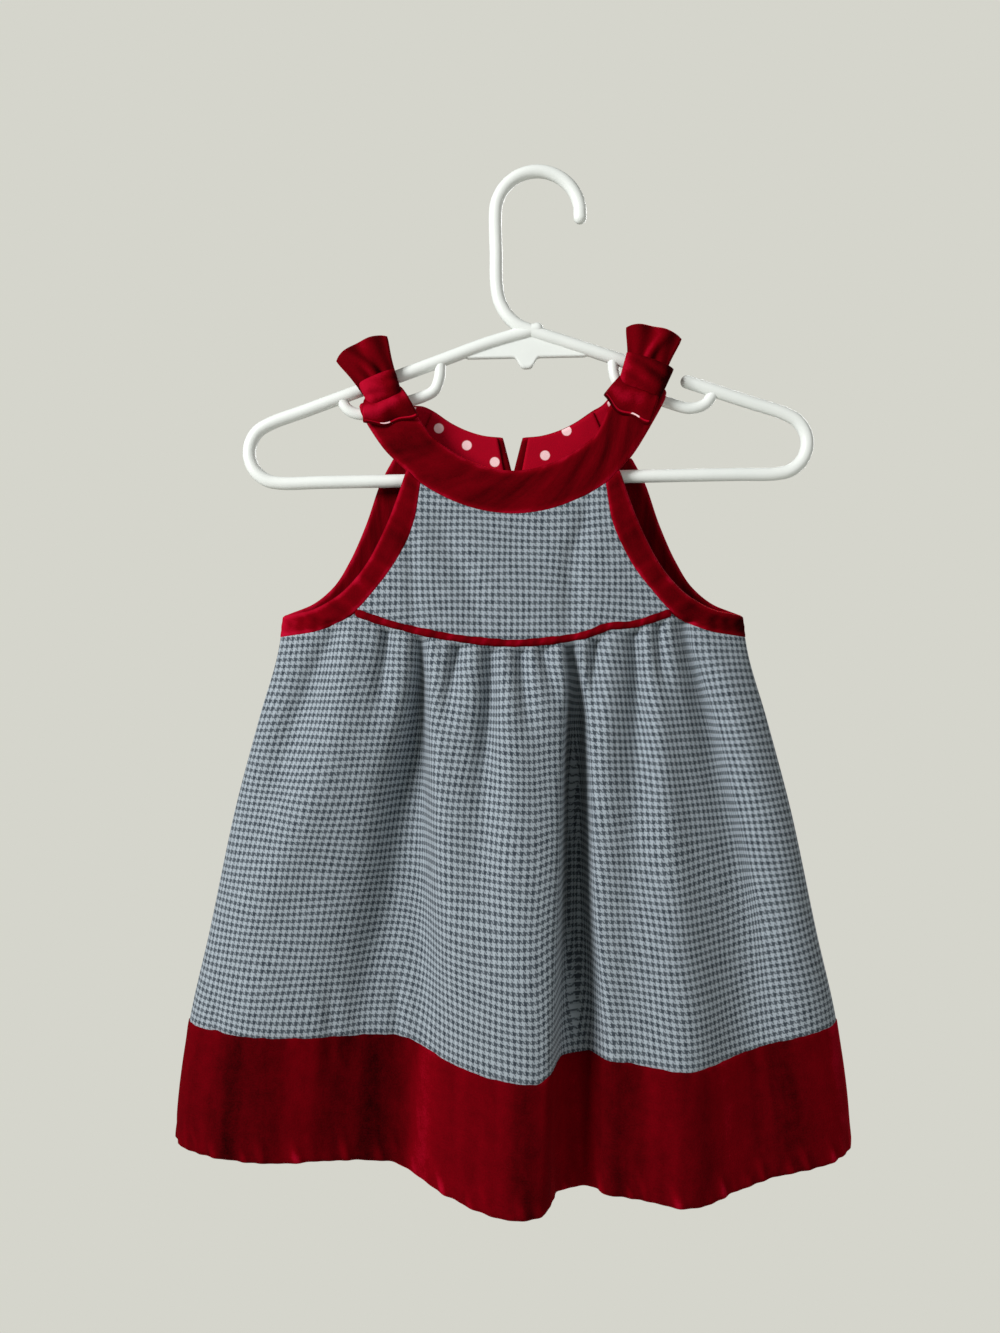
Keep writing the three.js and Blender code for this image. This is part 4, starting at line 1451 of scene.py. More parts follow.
@dataclass(frozen=True)
class Hanger:
    """Moulded child's hanger: hook, arms, strap slots, pockets, web and bar."""

    tube: float = 3.5
    pocket_tube: float = 3.0
    hook_radius: float = 22.7
    axis: float = -7.5
    tilt: float = math.radians(1.1)
    half_span: float = 149.0
    slope: float = math.radians(19.2)
    apex_z: float = -80.7
    bar_z: float = -160.4
    slot: tuple[float, float] = (72.0, 82.0)
    web_half: float = 36.0
    web_base: float = -95.2
    web_wall: float = 2.4
    nub: float = 5.8
    pocket: tuple[tuple[float, float], ...] = (
        (46.0, -97.5),
        (46.8, -106.0),
        (49.5, -112.2),
        (55.0, -115.4),
        (71.0, -120.0),
        (87.0, -124.6),
        (95.0, -122.4),
        (100.0, -115.8),
    )

    def place(self, x: Array, z: Array) -> Array:
        """Points of the hanger's plane, tilted about the hook's rest.

        Args:
            x: distance from the hanger's own axis.
            z: level before the tilt.

        Returns:
            The points, in millimetres.
        """
        c, s = math.cos(self.tilt), math.sin(self.tilt)
        across = np.asarray(x, dtype=float) + self.axis
        z = np.asarray(z, dtype=float)
        return np.stack(np.broadcast_arrays(across * c - z * s, 0.0 * z, across * s + z * c), axis=-1)

    def arm_z(self, x: Array) -> Array:
        """Level of the sloping arms."""
        return self.apex_z - math.tan(self.slope) * np.abs(x)

    def pocket_bar(self, side: Side) -> tuple[Array, Array, Array]:
        """Middle, outward and upward direction of the bar under one strap.

        Args:
            side: left or right strap.

        Returns:
            The three vectors, in millimetres.
        """
        (ax, az), (bx, bz) = self.pocket[3], self.pocket[5]
        start, end = self.place(side.value * ax, az), self.place(side.value * bx, bz)
        share = (DRESS_X + side.value * Straps.across - start[0]) / (end[0] - start[0])
        outward = unit(end - start)
        up = np.array([-side.value * outward[2], 0, side.value * outward[0]])
        return lerp(start, end, share), outward, up

    def hook_path(self) -> Array:
        """Middle line of hook, stem and right inner arm.

        Returns:
            Points along it, one a row.
        """
        angle = np.radians(np.linspace(-6, 180, 13))
        r = self.hook_radius
        hook = self.place(-self.axis + r * np.cos(angle), self.tube - r + r * np.sin(angle))
        foot = -self.axis - r
        arm = np.array([3.0, 20.0, 46.0, self.slot[0] - self.tube])
        bend = np.array([(0, -40), (0, -57), (1.6, -66), (5.8, -73.6), (11, -78.4)])
        stem = self.place(foot + bend[:, 0], bend[:, 1])
        return through_keys(np.concatenate([hook, stem, self.place(arm, self.arm_z(arm))]), 16)

    def loop_path(self) -> Array:
        """Middle line of outer arms, rounded ends and lower bar.

        Returns:
            Points along it, one a row.
        """
        c, t = math.cos(self.slope), math.tan(self.slope)
        drop = self.apex_z - self.bar_z - self.half_span * t
        bend = drop * c / (1 + (1 - t) * c)
        angle = np.radians(np.linspace(90 - math.degrees(self.slope), -90, 7))
        arm = np.array([self.slot[1] + self.tube, 100.0, 118.0])
        x = np.concatenate([arm, self.half_span - bend + bend * np.cos(angle), [110, 70, 25]])
        z = np.concatenate([self.arm_z(arm), self.bar_z + bend + bend * np.sin(angle), [self.bar_z] * 3])
        keys = np.concatenate([self.place(x, z), self.place(-x[::-1], z[::-1])])
        return through_keys(keys, 14)

    def web(self) -> Cloth:
        """Thin web under the arms with its rounded nub, ruled from arm to lower edge.

        Returns:
            The web's grid, not yet a shell.
        """
        x = np.linspace(-self.web_half, self.web_half, 97)[None]
        corner = np.clip((np.abs(x) - self.web_half + 5) / 5, 0, 1)
        low = lerp(self.web_base, self.arm_z(self.web_half), corner) - self.nub * np.exp(-((x / 4.6) ** 4))
        down = np.linspace(0, 1, 17)[:, None]
        grid = self.place(np.broadcast_to(x, (17, 97)), lerp(self.arm_z(x), low, down))
        return Cloth("web", grid, grid_normals(grid), self.web_wall, grid[..., [0, 2]])

    def build(self, wardrobe: Wardrobe) -> None:
        """Moulds and dresses the hanger.

        Args:
            wardrobe: the finishes.
        """
        left = np.array([6.0, -20.0, -46.0, self.tube - self.slot[0]])
        left_z = self.arm_z(left) + np.where(left > 0, 2, 0)
        paths = [
            (evenly(self.hook_path(), 260), self.tube),
            (evenly(through_keys(self.place(left, left_z), 12), 40), self.tube),
            (evenly(self.loop_path(), 360), self.tube),
        ]
        keys = np.array(self.pocket)
        for side in Side:
            bar = through_keys(self.place(side.value * keys[:, 0], keys[:, 1]), 12)
            paths.append((evenly(bar, 90), self.pocket_tube))
        points, faces, lengths, count = [], [], [], 0
        for path, radius in paths:
            made = sweep(path, np.full(len(path), radius), 20)
            points.append(made[0])
            faces.append(made[1] + count)
            lengths.append(made[2])
            count += len(made[0])
        moulding = mesh_object("hanger", *(np.concatenate(part) for part in (points, faces, lengths)))
        web = self.web().shell()
        with bpy.context.temp_override(active_object=moulding, selected_editable_objects=[moulding, web]):
            bpy.ops.object.join()
        wardrobe.dress(moulding, wardrobe.plastic)


HANGER = Hanger()


# Bodice


@dataclass(frozen=True)
class Straps:
    """Shoulder straps: keys above the band's corner and the fold over the bar."""

    across: float = 69.5
    half: float = 10.5
    saddle: float = 5.1
    front: tuple[tuple[float, ...], ...] = (
        (46.4, -135.6, 56.2, -156.3, 0.1),
        (51.6, -126.6, 67.5, -143.0, 0.7),
    )
    back: tuple[tuple[float, ...], ...] = (
        (48.6, -121.4, 63.8, -146.8, 0.1),
        (53.6, -118.6, 72.0, -136.0, 0.7),
    )

    def saddle_keys(self, side: Side, face: Face, inner: bool) -> Array:
        """Keys of one edge folded over the pocket bar, from its crown down.

        Args:
            side: left or right strap.
            face: face that it folds down to.
            inner: True for the edge towards the neck.

        Returns:
            Key points, one a row.
        """
        middle, outward, up = HANGER.pocket_bar(side)
        reach = -self.half if inner else self.half
        angle = np.linspace(math.pi / 2 - SEAM * 1.2 / self.saddle, 0, 4)[:, None]
        depth = np.array([0.0, face.value * self.saddle, 0.0])
        return middle + outward * reach + up * self.saddle * np.sin(angle) + depth * np.cos(angle)

    def keys(self, side: Side, face: Face, inner: bool) -> Array:
        """Keys of one edge from the crown down to the corner of the band.

        Args:
            side: left or right strap.
            face: front or back.
            inner: True for the edge towards the neck.

        Returns:
            Key points, one a row.
        """
        level = sum(HANGER.pocket_bar(one)[0][2] for one in Side) / 2
        shift = HANGER.pocket_bar(side)[0][2] - level
        rows = np.array(self.front if face is Face.FRONT else self.back)[::-1]
        x, z = (rows[:, 0], rows[:, 1]) if inner else (rows[:, 2], rows[:, 3])
        turn = BODY.turn_at(side.value * x, face)
        return np.concatenate([self.saddle_keys(side, face, inner), BODY.point(turn, z + shift * rows[:, 4])])


@dataclass
class Bodice:
    """Yokes, neckbands, facings, armhole bindings and the cord in the waist seam."""

    straps: Straps = Straps()
    # Edges of the bands: half the slit where there is one, half-width, lowest level, rise to the corner
    front_neck: tuple[float, float, float] = (43.0, -158.8, 18.4)
    front_seam: tuple[float, float, float] = (48.8, -180.3, 16.5)
    back_neck: tuple[float, float, float, float] = (6.0, 43.0, -138.0, 13.7)
    back_seam: tuple[float, float, float, float] = (SEAM, 56.4, -160.2, 6.0)
    dots: Mapping[Side, tuple[float, float, float]] = field(
        default_factory=lambda: {Side.LEFT: (-24.8, -141.7, -30.7), Side.RIGHT: (17.4, -147.1, 48.5)}
    )
    # Share of its length from which the back band is faced inside, past the facing's own piece
    faced_from: float = 0.3
    band_puff: float = 0.35
    band_nap: float = 0.36
    binding_puff: float = 0.3
    binding_nap: float = 0.4
    puff_curve: float = 0.7
    cord_half: float = 0.985
    cord_length: float = 160.0
    cord_cover: float = 0.6
    cord_nap: float = 0.58
    cord_points: int = 220
    per_key: int = 10
    across: int = 17
    set_back: int = 3

    def build(self, wardrobe: Wardrobe) -> None:
        """Cuts, sews and dresses every piece of the bodice.

        Args:
            wardrobe: the finishes.
        """
        yoke = self.yoke("front_yoke", Face.FRONT, np.linspace(-1, 1, 121))
        wardrobe.dress(yoke, wardrobe.tweed)
        declare(yoke, CUTS["front_yoke"])
        band = self.band("front_neckband", *self.front_edges(), 0.0)
        wardrobe.dress(band, wardrobe.velveteen, wardrobe.cotton)
        declare(band, CUTS["front_neckband"])
        for side in Side:
            self.build_side(side, wardrobe)
        self.cord(wardrobe)

    def build_side(self, side: Side, wardrobe: Wardrobe) -> None:
        """Builds the pieces that come in pairs.

        Args:
            side: left or right.
            wardrobe: the finishes.
        """
        slit = SEAM / HALF_CHEST / float(SEAMS.clear(SEAMS.waist_at[Face.BACK], Face.BACK))
        yoke = self.yoke(f"back_yoke_{side.word}", Face.BACK, side.value * np.linspace(slit, 1, 61))
        wardrobe.dress(yoke, wardrobe.tweed)
        declare(yoke, CUTS["back_yoke"])
        edges = self.back_edges(side, True)
        band = self.band(f"back_neckband_{side.word}", *edges, self.faced_from)
        wardrobe.dress(band, wardrobe.velveteen, wardrobe.cotton)
        declare(band, CUTS["back_neckband"])
        facing = self.facing(side)
        wardrobe.dress(facing, wardrobe.cotton)
        declare(facing, CUTS["neck_facing"])
        binding = self.binding(side)
        wardrobe.dress(binding, wardrobe.velveteen)
        declare(binding, CUTS["armhole_binding"])

    def yoke(self, name: str, face: Face, q: Array) -> bpy.types.Object:
        """Tweed yoke between band, bindings and waist seam.

        Rows run down the binding's seam; each column's level goes from the
        band's lower edge to the waist seam by the same share.

        Args:
            name: node that it replaces.
            face: front or back.
            q: share of the half-width, by column.

        Returns:
            The finished shell.
        """
        waist_at = SEAMS.waist_at[face]
        head = 0.0 if face is Face.FRONT else SEAMS.last
        t = np.linspace(head, waist_at, 60)[:, None]
        q = q[None]
        down = (SEAMS.seam_z(t) - SEAMS.seam_z(head)) / (SEAMS.seam_z(waist_at) - SEAMS.seam_z(head))
        low = self.front_seam[1] if face is Face.FRONT else self.back_seam[2]
        top = lerp(low - SEAM * 1.6, SEAMS.seam_z(head), q * q)
        turn = q * SEAMS.clear(t, face)
        z = lerp(top, SEAMS.waist(q, face), down)
        turn = math.pi - turn if face is Face.BACK else turn
        grid, normals = BODY.point(turn, z), BODY.normal(turn, z)
        u, v = grid[..., 0] - DRESS_X, grid[..., 2]
        uv = np.stack([u + ripple(u, v, WANDER), v + ripple(v, u, WANDER)], axis=-1)
        return Cloth(name, grid, normals, TWEED_WALL, uv).shell()

    def front_edges(self) -> tuple[Array, Array]:
        """Neck edge and seam edge of the front band, from shoulder to shoulder.

        Returns:
            The two edges.
        """
        edges = []
        for inner, (half, low, rise) in ((True, self.front_neck), (False, self.front_seam)):
            q = np.linspace(-1, 1, 9)
            middle = BODY.point(BODY.turn_at(q * half, Face.FRONT), low + rise * q * q)
            left, right = (self.straps.keys(side, Face.FRONT, inner) for side in Side)
            edges.append(through_keys(np.concatenate([left, middle, right[::-1]]), self.per_key))
        return edges[0], edges[1]

    def back_edges(self, side: Side, with_strap: bool) -> tuple[Array, Array]:
        """Neck edge and seam edge of half the back band, from slit to shoulder.

        Args:
            side: left or right half.
            with_strap: False to stop at the corner of the band.

        Returns:
            The two edges.
        """
        edges = []
        for inner, (start, half, low, rise) in ((True, self.back_neck), (False, self.back_seam)):
            q = np.linspace(0, 1, 5)
            turn = side.value * BODY.turn_at(lerp(start, half, q), Face.BACK)
            keys = BODY.point(turn, low + rise * q * q)
            if with_strap:
                keys = np.concatenate([keys, self.straps.keys(side, Face.BACK, inner)[::-1]])
            edges.append(through_keys(keys, self.per_key))
        return edges[0], edges[1]

    def ruled(self, neck: Array, seam: Array) -> tuple[Array, Array]:
        """Grid ruled from neck edge to seam edge, with normals away from the body.

        Args:
            neck: points of the neck edge.
            seam: points of the seam edge.

        Returns:
            The grid and its normals.
        """
        share = np.linspace(0, 1, self.across)[None, :, None]
        grid = lerp(neck[:, None], seam[:, None], share)
        normals = grid_normals(grid)
        facing = np.sum(normals * (grid * (0, 1, 0) + np.array((0, 0, 1e-3))), axis=(0, 1)).sum()
        return grid, normals if facing > 0 else -normals

    def band(self, name: str, neck: Array, seam: Array, faced: float) -> bpy.types.Object:
        """Velveteen band, softly padded between its edges.

        Args:
            name: node that it replaces.
            neck: points of the neck edge.
            seam: points of the seam edge.
            faced: share of its length from which it is faced with cotton inside.

        Returns:
            The finished shell.
        """
        grid, normals = self.ruled(neck, seam)
        u, v = run_along(grid, 1), run_along(grid, 0)
        share = np.linspace(0, 1, self.across)[None]
        puff = self.band_puff * np.sin(math.pi * share) ** self.puff_curve
        pulls = ripple(u, v, BAND_PULLS)
        grid = grid + normals * (puff + pulls * np.sin(math.pi * share))[..., None]
        eased = ripple(v, u, BAND_EASE)
        # Painted light and shade by slope, and painted highlights at both edges, over the uneven pile
        nap = pile_lie(normals, v, u, self.band_nap) + eased + turned_edges(u)
        uv = np.stack([v, u], axis=-1)
        # A start past the last row leaves the outside unfaced
        cloth = Cloth(name, grid, normals, VELVETEEN_WALL, uv, nap, facing_from=2.0, faced_inside=faced)
        return cloth.shell()

    def facing(self, side: Side) -> bpy.types.Object:
        """Dotted facing on the inside of the back band.

        Args:
            side: left or right half.

        Returns:
            The finished shell.
        """
        # The facing is set back from the slit, so the band's turned edge shows
        grid, normals = (part[self.set_back :] for part in self.ruled(*self.back_edges(side, False)))
        inward = VELVETEEN_WALL / 2 + SEAM + FACING_WALL / 2
        grid = grid - normals * inward
        dot_x, dot_z, lean = self.dots[side]
        x, z = grid[..., 0] - DRESS_X - dot_x, grid[..., 2] - dot_z
        c, s = math.cos(math.radians(lean)), math.sin(math.radians(lean))
        uv = np.stack([x * c + z * s, z * c - x * s], axis=-1)
        return Cloth(f"neck_facing_{side.word}", grid, normals, FACING_WALL, uv).shell()

    def binding(self, side: Side) -> bpy.types.Object:
        """Velveteen binding round one armhole.

        Args:
            side: left or right.

        Returns:
            The finished shell.
        """
        t = np.linspace(0, SEAMS.last, 220)[:, None]
        share = np.linspace(0, 1, 11)[None]
        turn = side.value * np.radians(lerp(SEAMS.edge(t), SEAMS.seam(t), share))
        z = lerp(SEAMS.edge_z(t), SEAMS.seam_z(t), share)
        grid, normals = BODY.point(turn, z), BODY.normal(turn, z)
        u, v = run_along(grid, 1), run_along(grid, 0)
        puff = self.binding_puff * np.sin(math.pi * share) ** self.puff_curve
        pulls = ripple(u, v, BINDING_PULLS)
        grid = grid + normals * (puff + pulls * np.sin(math.pi * share))[..., None]
        eased = ripple(v, u, BINDING_EASE)
        # Painted light and shade by slope, and painted highlights at both edges, over the uneven pile
        nap = pile_lie(normals, v, u, self.binding_nap) + eased + turned_edges(u)
        uv = np.stack([v, u], axis=-1)
        return Cloth(f"armhole_binding_{side.word}", grid, normals, VELVETEEN_WALL, uv, nap).shell()

    def cord(self, wardrobe: Wardrobe) -> None:
        """Covered cord let into the front waist seam.

        Args:
            wardrobe: the finishes.
        """
        q = np.linspace(-self.cord_half, self.cord_half, 160)
        turn = q * float(SEAMS.clear(SEAMS.waist_at[Face.FRONT], Face.FRONT))
        path = BODY.point(turn, SEAMS.waist(q, Face.FRONT) - PIPING_RADIUS - SEAM)
        # Its cover is eased round the cord, so the roll swells and shrinks a little
        run = np.linspace(0, self.cord_length, self.cord_points)
        radius = PIPING_RADIUS + self.cord_cover + ripple(run, run, CORD_SWELL)
        points, faces, uv = sweep(evenly(path, self.cord_points), radius, 14)
        nap = self.cord_nap + ripple(uv[:, 1], uv[:, 0], CORD_LIE)
        wardrobe.dress(mesh_object("waist_piping", points, faces, uv, nap), wardrobe.velveteen)


# Bows


@dataclass
class Bow:
    """Bow on one shoulder: upper and lower wing gathered under a wound knot.

    Leans are degrees from the vertical, reaches and widths are millimetres, and the pile's base brightness
    and the painted crest highlight run from 0 to 1; painted light by slope is added to them.
    """

    side: Side
    up_lean: float
    up_reach: float
    down_lean: float
    down_reach: float
    knot_width: float
    knot_height: float
    knot_nap: float
    puff: float
    skew: float
    dot: float
    roll_nap: float
    neck: float = 19.0
    end: float = 29.0
    lower_end: float = 27.0
    ruffle: float = 0.8
    clear: float = 2.4
    knot_rise: float = 8.7
    knot_arch: float = 1.2
    knot_clear: float = 0.6
    wing_nap: float = 0.42
    rolled_from: float = 0.965

    def build(self, wardrobe: Wardrobe) -> None:
        """Cuts, ties and dresses the bow.

        Args:
            wardrobe: the finishes.
        """
        middle = HANGER.pocket_bar(self.side)[0]
        off = Straps.saddle + VELVETEEN_WALL / 2 + 2 * SEAM + VELVETEEN_WALL / 2
        neck_at = middle + np.array([0, -off, self.knot_rise])
        up, down = math.radians(self.up_lean), math.pi - math.radians(self.down_lean)
        upper = self.upper_wing(neck_at, up)
        wardrobe.dress(upper, wardrobe.velveteen)
        declare(upper, CUTS["bow_upper"])
        lower = self.lower_wing(neck_at, down)
        wardrobe.dress(lower, wardrobe.velveteen, wardrobe.cotton)
        declare(lower, (28, self.down_reach + 4.5, 0.94))
        knot_at = neck_at - np.array([0, VELVETEEN_WALL + SEAM + self.knot_clear, 0])
        knot = self.knot(knot_at, (up + down - math.pi) / 2)
        wardrobe.dress(knot, wardrobe.velveteen)
        declare(knot, (self.knot_width + 6, self.knot_height + 3.5, 0.97))

    def fan(self, name: str, start: Array, lean: float, half: Array, run: Array, rise: Array) -> Cloth:
        """Cloth of one fan-shaped wing.

        Args:
            name: node that it replaces.
            start: middle of its neck.
            lean: lean of its axis from the vertical.
            half: half-width by row, with the share across by column, multiplied.
            run: distance along its axis.
            rise: rise towards the front.

        Returns:
            The cloth, with lengths and the pile's brightness with painted light and shade.
        """
        along, across = self.axes(lean)
        depth = np.array([0.0, -1.0, 0.0])
        grid = start + across * half[..., None] + depth * rise[..., None]
        grid = grid + along * (self.clear + run)[..., None]
        normals = grid_normals(grid)
        normals = normals if normals[..., 1].mean() < 0 else -normals
        uv = np.stack([half, run], axis=-1)
        # Painted light and shade by slope on the wing's pile
        return Cloth(name, grid, normals, VELVETEEN_WALL, uv, pile_lie(normals, half, run, self.wing_nap))

    def axes(self, lean: float) -> tuple[Array, Array]:
        """Directions along and across a wing that leans from the vertical."""
        s, c = math.sin(lean), math.cos(lean)
        return np.array([s, 0, c]), np.array([c, 0, -s])

    def upper_wing(self, neck_at: Array, lean: float) -> bpy.types.Object:
        """Upper wing: flares from its neck, with fine pleats that fade outwards.

        Share b runs from the neck to the free end, and a from edge to edge.

        Args:
            neck_at: middle of the bow on the strap.
            lean: lean from the vertical.

        Returns:
            The finished shell.
        """
        b = np.linspace(0, 1, 41)[:, None]
        a = np.linspace(-1, 1, 65)[None]
        half = a * lerp(self.neck, self.end, b**1.5) / 2 * (1 - 0.03 * b**9)
        soft = self.ruffle * b**1.5 * (1.5 - np.cos(2 * math.pi * a + 0.5))
        waves = 0.32 * np.sin(3.3 * math.pi * a + 0.8 + 0.6 * b) + 0.2 * np.sin(7.1 * a + 2.0)
        pleats = waves * (1 - b) ** 1.7
        belly = 1.1 * np.sin(math.pi * b) * (1 - 0.5 * a * a)
        crumple = 1.3 * np.exp(-(((self.side.value * a + 0.3 - 0.85 * b) / 0.2) ** 2)) * np.sin(math.pi * b)
        run = self.up_reach * b * (1 - 0.08 * a * a - 0.05 * np.abs(a) ** 7)
        rise = soft + pleats + belly + crumple
        return self.fan(f"bow_{self.side.word}_upper", neck_at, lean, half, run, rise).shell()

    def lower_wing(self, neck_at: Array, lean: float) -> bpy.types.Object:
        """Lower wing: puffed over a soft crest, its dotted facing rolled out at the edge.

        Share b runs from the neck to the free end, and a from edge to edge.

        Args:
            neck_at: middle of the bow on the strap.
            lean: lean from the vertical.

        Returns:
            The finished shell.
        """
        b = np.linspace(0, 1, 45)[:, None]
        a = np.linspace(-1, 1, 61)[None]
        half = a * lerp(self.neck, self.lower_end, b**0.8) / 2
        puffed = self.puff * np.sin(math.pi * np.minimum(1, b * 1.08)) ** 0.9 * (1 - 0.35 * a * a)
        crest = 1.1 * np.exp(-(((b - 0.5 - 0.14 * a) / 0.2) ** 2))
        pleats = 0.16 * np.sin(3.2 * math.pi * a + 0.4) * (1 - b) ** 1.2
        open_edge = 1.2 * b**3 * (1.2 - np.cos(2.4 * a + 0.4))
        run = self.down_reach * b * (1 - 0.1 * a * a + self.skew * a + 0.05 * np.sin(5 * a))
        rise = puffed + crest + pleats + open_edge
        cloth = self.fan(f"bow_{self.side.word}_lower", neck_at, lean, half, run, rise)
        # Painted highlight along the soft crest; the whole wing is set a little darker
        cloth.nap = cloth.nap + self.roll_nap * np.exp(-(((b - 0.5 - 0.14 * a) / 0.3) ** 2)) - 0.15
        # A printed dot of the facing falls on the rolled edge
        u = cloth.uv[..., 0] - self.dot * self.lower_end / 2
        v = cloth.uv[..., 1] - self.down_reach * 0.98
        cloth.uv = np.stack([u + v, v - u], axis=-1) / math.sqrt(2)
        cloth.facing_from = self.rolled_from
        return cloth.shell()

    def knot(self, at: Array, lean: float) -> bpy.types.Object:
        """Band wound over the necks of the wings, arched both ways and pleated.

        Share b runs up the knot and a across it, both from minus a half to a half.

        Args:
            at: middle of the knot.
            lean: lean of the bow.

        Returns:
            The finished shell.
        """
        along, across = self.axes(lean)
        b = np.linspace(-0.5, 0.5, 41)[:, None]
        a = np.linspace(-0.5, 0.5, 45)[None]
        arch = self.knot_arch * (4 * b * b - 1) + 1.3 * (4 * a * a - 1)
        # Its ends and edges turn under
        arch = arch + 2.4 * np.abs(2 * a) ** 7 + 0.8 * np.abs(2 * b) ** 6
        pleats = 0.5 * np.cos(3.4 * math.pi * (b + 0.2 * a) + 1.2 * np.sin(3 * a)) * (1 - 4 * b * b)
        depth = np.array([0.0, 1.0, 0.0])
        width = a * self.knot_width * (1 + 0.12 * b)
        grid = at + across * width[..., None] + along * (b * self.knot_height * (1 + 0 * a))[..., None]
        grid = grid + depth * (arch - pleats)[..., None]
        normals = grid_normals(grid)
        normals = normals if normals[..., 1].mean() < 0 else -normals
        uv = np.stack(np.broadcast_arrays(width, b * self.knot_height), axis=-1)
        # Painted light and shade by slope on the knot's pile
        nap = pile_lie(normals, width, b * self.knot_height, self.knot_nap)
        return Cloth(f"bow_{self.side.word}_knot", grid, normals, VELVETEEN_WALL, uv, nap).shell()


# Studio


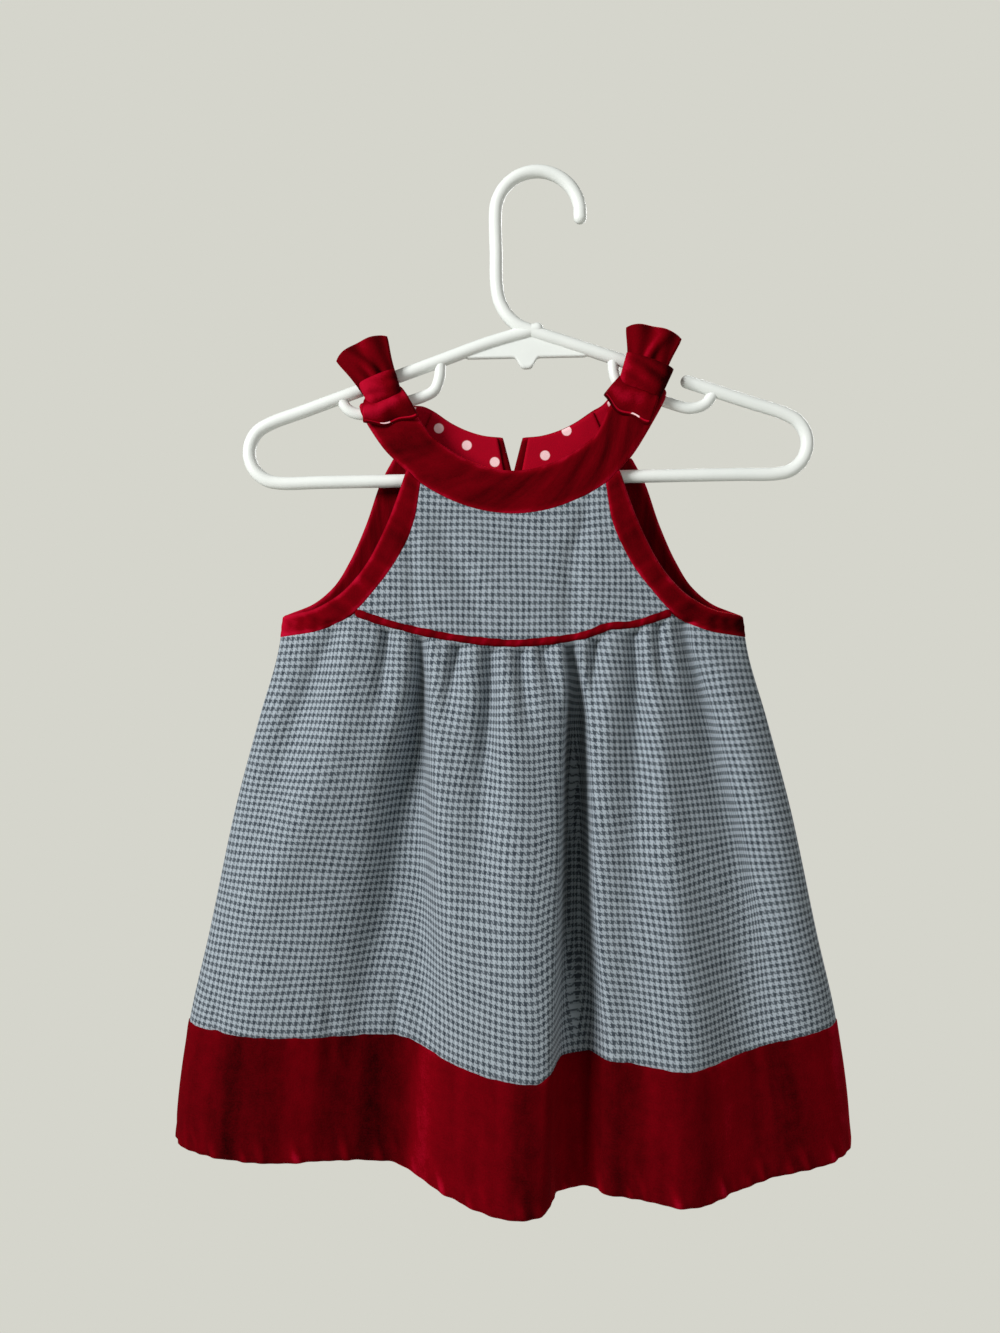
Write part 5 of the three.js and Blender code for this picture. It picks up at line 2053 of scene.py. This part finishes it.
@dataclass(frozen=True)
class Studio:
    """Camera at the picture's angle, soft lights, pale surround and floor."""

    camera_at: tuple[float, float, float] = (-0.0198, -0.620, -0.261)
    lens_mm: float = 31.34
    surround: str = "d5d5cc"
    ambient: float = 0.3
    floor_z: float = -2.2
    floor_radius: float = 1.9
    floor_sides: int = 128
    floor_tones: tuple[str, str] = ("d8d8d2", "cfcfc8")
    aim_at: tuple[float, float, float] = (0.0, 0.0, -0.3)

    def build(self) -> None:
        """Sets up camera, lights, world and floor."""
        self.camera()
        self.world()
        self.floor()
        self.light("key", (-1.55, -1.25, 0.5), 0.7, 55.0)
        self.light("fill", (1.6, -1.3, 0.1), 1.4, 9.5)
        self.light("behind", (0.9, 1.7, 0.4), 1.2, 26.0)

    def camera(self) -> None:
        """Camera straight on to the dress."""
        data = bpy.data.cameras.new("camera")
        data.sensor_fit = "AUTO"
        data.sensor_width = 36.0
        data.lens = self.lens_mm
        data.dof.use_dof = False
        made = bpy.data.objects.new("camera", data)
        made.location = self.camera_at
        made.rotation_euler = (math.pi / 2, 0, 0)
        bpy.context.scene.collection.objects.link(made)
        bpy.context.scene.camera = made

    def world(self) -> None:
        """Pale surround, dimmer as a light than as it is seen."""
        world = bpy.data.worlds.new("surround")
        world.use_nodes = True
        tree = world.node_tree
        tree.nodes.clear()
        seen, lit = (tree.nodes.new("ShaderNodeBackground") for _ in range(2))
        for node, strength in ((seen, 1.0), (lit, self.ambient)):
            node.inputs["Color"].default_value = srgb(self.surround)
            node.inputs["Strength"].default_value = strength
        kinds = ("LightPath", "MixShader", "OutputWorld")
        path, mix, out = (tree.nodes.new("ShaderNode" + kind) for kind in kinds)
        tree.links.new(path.outputs["Is Camera Ray"], mix.inputs[0])
        tree.links.new(lit.outputs[0], mix.inputs[1])
        tree.links.new(seen.outputs[0], mix.inputs[2])
        tree.links.new(mix.outputs[0], out.inputs[0])
        bpy.context.scene.world = world
        bpy.context.scene.view_settings.view_transform = "Standard"

    def floor(self) -> None:
        """Plain pale floor well below the hem."""
        turn = np.linspace(0, 2 * math.pi, self.floor_sides, endpoint=False)
        circle = np.stack([np.cos(turn), np.sin(turn)], axis=1) * self.floor_radius
        rim = np.pad(circle, ((0, 0), (0, 1)), constant_values=self.floor_z)
        mesh = bpy.data.meshes.new("floor")
        mesh.from_pydata(rim.tolist(), [], [tuple(range(self.floor_sides))])
        made = bpy.data.objects.new("floor", mesh)
        bpy.context.scene.collection.objects.link(made)
        g = Graph("pale_floor")
        grain = g.add("TexNoise", {"Vector": g.add("TexCoord").outputs["Object"], "Scale": 3.0}).outputs[0]
        tone = g.blend(grain, *(srgb(tone) for tone in self.floor_tones))
        glow = {"Emission Color": srgb(self.surround), "Emission Strength": 0.5}
        made.data.materials.append(g.finish({"Base Color": tone, "Roughness": 0.9, **glow}))

    def light(self, name: str, at: tuple[float, float, float], size: float, watts: float) -> None:
        """Square soft light turned towards the dress.

        Args:
            name: name of the light.
            at: its place, in metres.
            size: side of the square, in metres.
            watts: its power.
        """
        data = bpy.data.lights.new(name, "AREA")
        data.size, data.energy = size, watts
        made = bpy.data.objects.new(name, data)
        made.location = at
        aim = np.array(self.aim_at) - np.array(at)
        turn = math.atan2(aim[0], -aim[1])
        lean = math.acos(-aim[2] / np.linalg.norm(aim))
        made.rotation_euler = (lean, 0, turn + math.pi)
        bpy.context.scene.collection.objects.link(made)


# Hem lines: share of the half-width, level of the hem and of the seam above it
FRONT_HEM = (
    (-1.0, -511.0, -449.0),
    (-0.8, -513.5, -451.5),
    (-0.6, -514.5, -452.8),
    (-0.37, -517.0, -454.2),
    (-0.2, -530.0, -463.5),
    (-0.02, -536.0, -470.0),
    (0.06, -535.6, -470.8),
    (0.14, -530.5, -463.5),
    (0.24, -530.5, -463.0),
    (0.5, -532.5, -466.0),
    (0.66, -528.5, -462.0),
    (0.85, -519.5, -453.5),
    (1.0, -515.0, -449.0),
)
BACK_HEM = ((-1.0, -511.0, -449.0), (0.0, -522.0, -457.0), (1.0, -515.0, -449.0))


def main() -> None:
    """Builds the dress, its hanger and the studio."""
    logging.basicConfig(level=logging.INFO, format="%(name)s: %(message)s")
    wardrobe = Wardrobe()
    HANGER.build(wardrobe)
    front = Skirt(
        face=Face.FRONT,
        hem_rows=FRONT_HEM,
        creases=(LEFT_CREASE, DEEP_CREASE, RIGHT_CREASE),
        panels=(-0.72, -0.05, 0.42, 0.85),
    )
    front.build(wardrobe)
    back = Skirt(
        face=Face.BACK,
        hem_rows=BACK_HEM,
        creases=FOLDS[Face.BACK][:5:2],
        panels=(-0.8, -0.2, 0.42, 0.88),
        columns=260,
        rows=80,
        band_rows=30,
    )
    back.build(wardrobe)
    Bodice().build(wardrobe)
    bow = Bow(
        side=Side.LEFT,
        up_lean=-26,
        up_reach=24,
        down_lean=18,
        down_reach=16,
        knot_width=18.0,
        knot_height=13.0,
        knot_nap=0.72,
        puff=3.6,
        skew=-0.12,
        dot=0.27,
        roll_nap=0.65,
    )
    bow.build(wardrobe)
    bow = Bow(
        side=Side.RIGHT,
        up_lean=12,
        up_reach=23,
        down_lean=-28,
        down_reach=20,
        knot_width=23.5,
        knot_height=16.0,
        knot_nap=0.4,
        puff=2.2,
        skew=0.0,
        dot=-0.4,
        roll_nap=0.42,
    )
    bow.build(wardrobe)
    Studio().build()


if __name__ == "__main__":
    main()
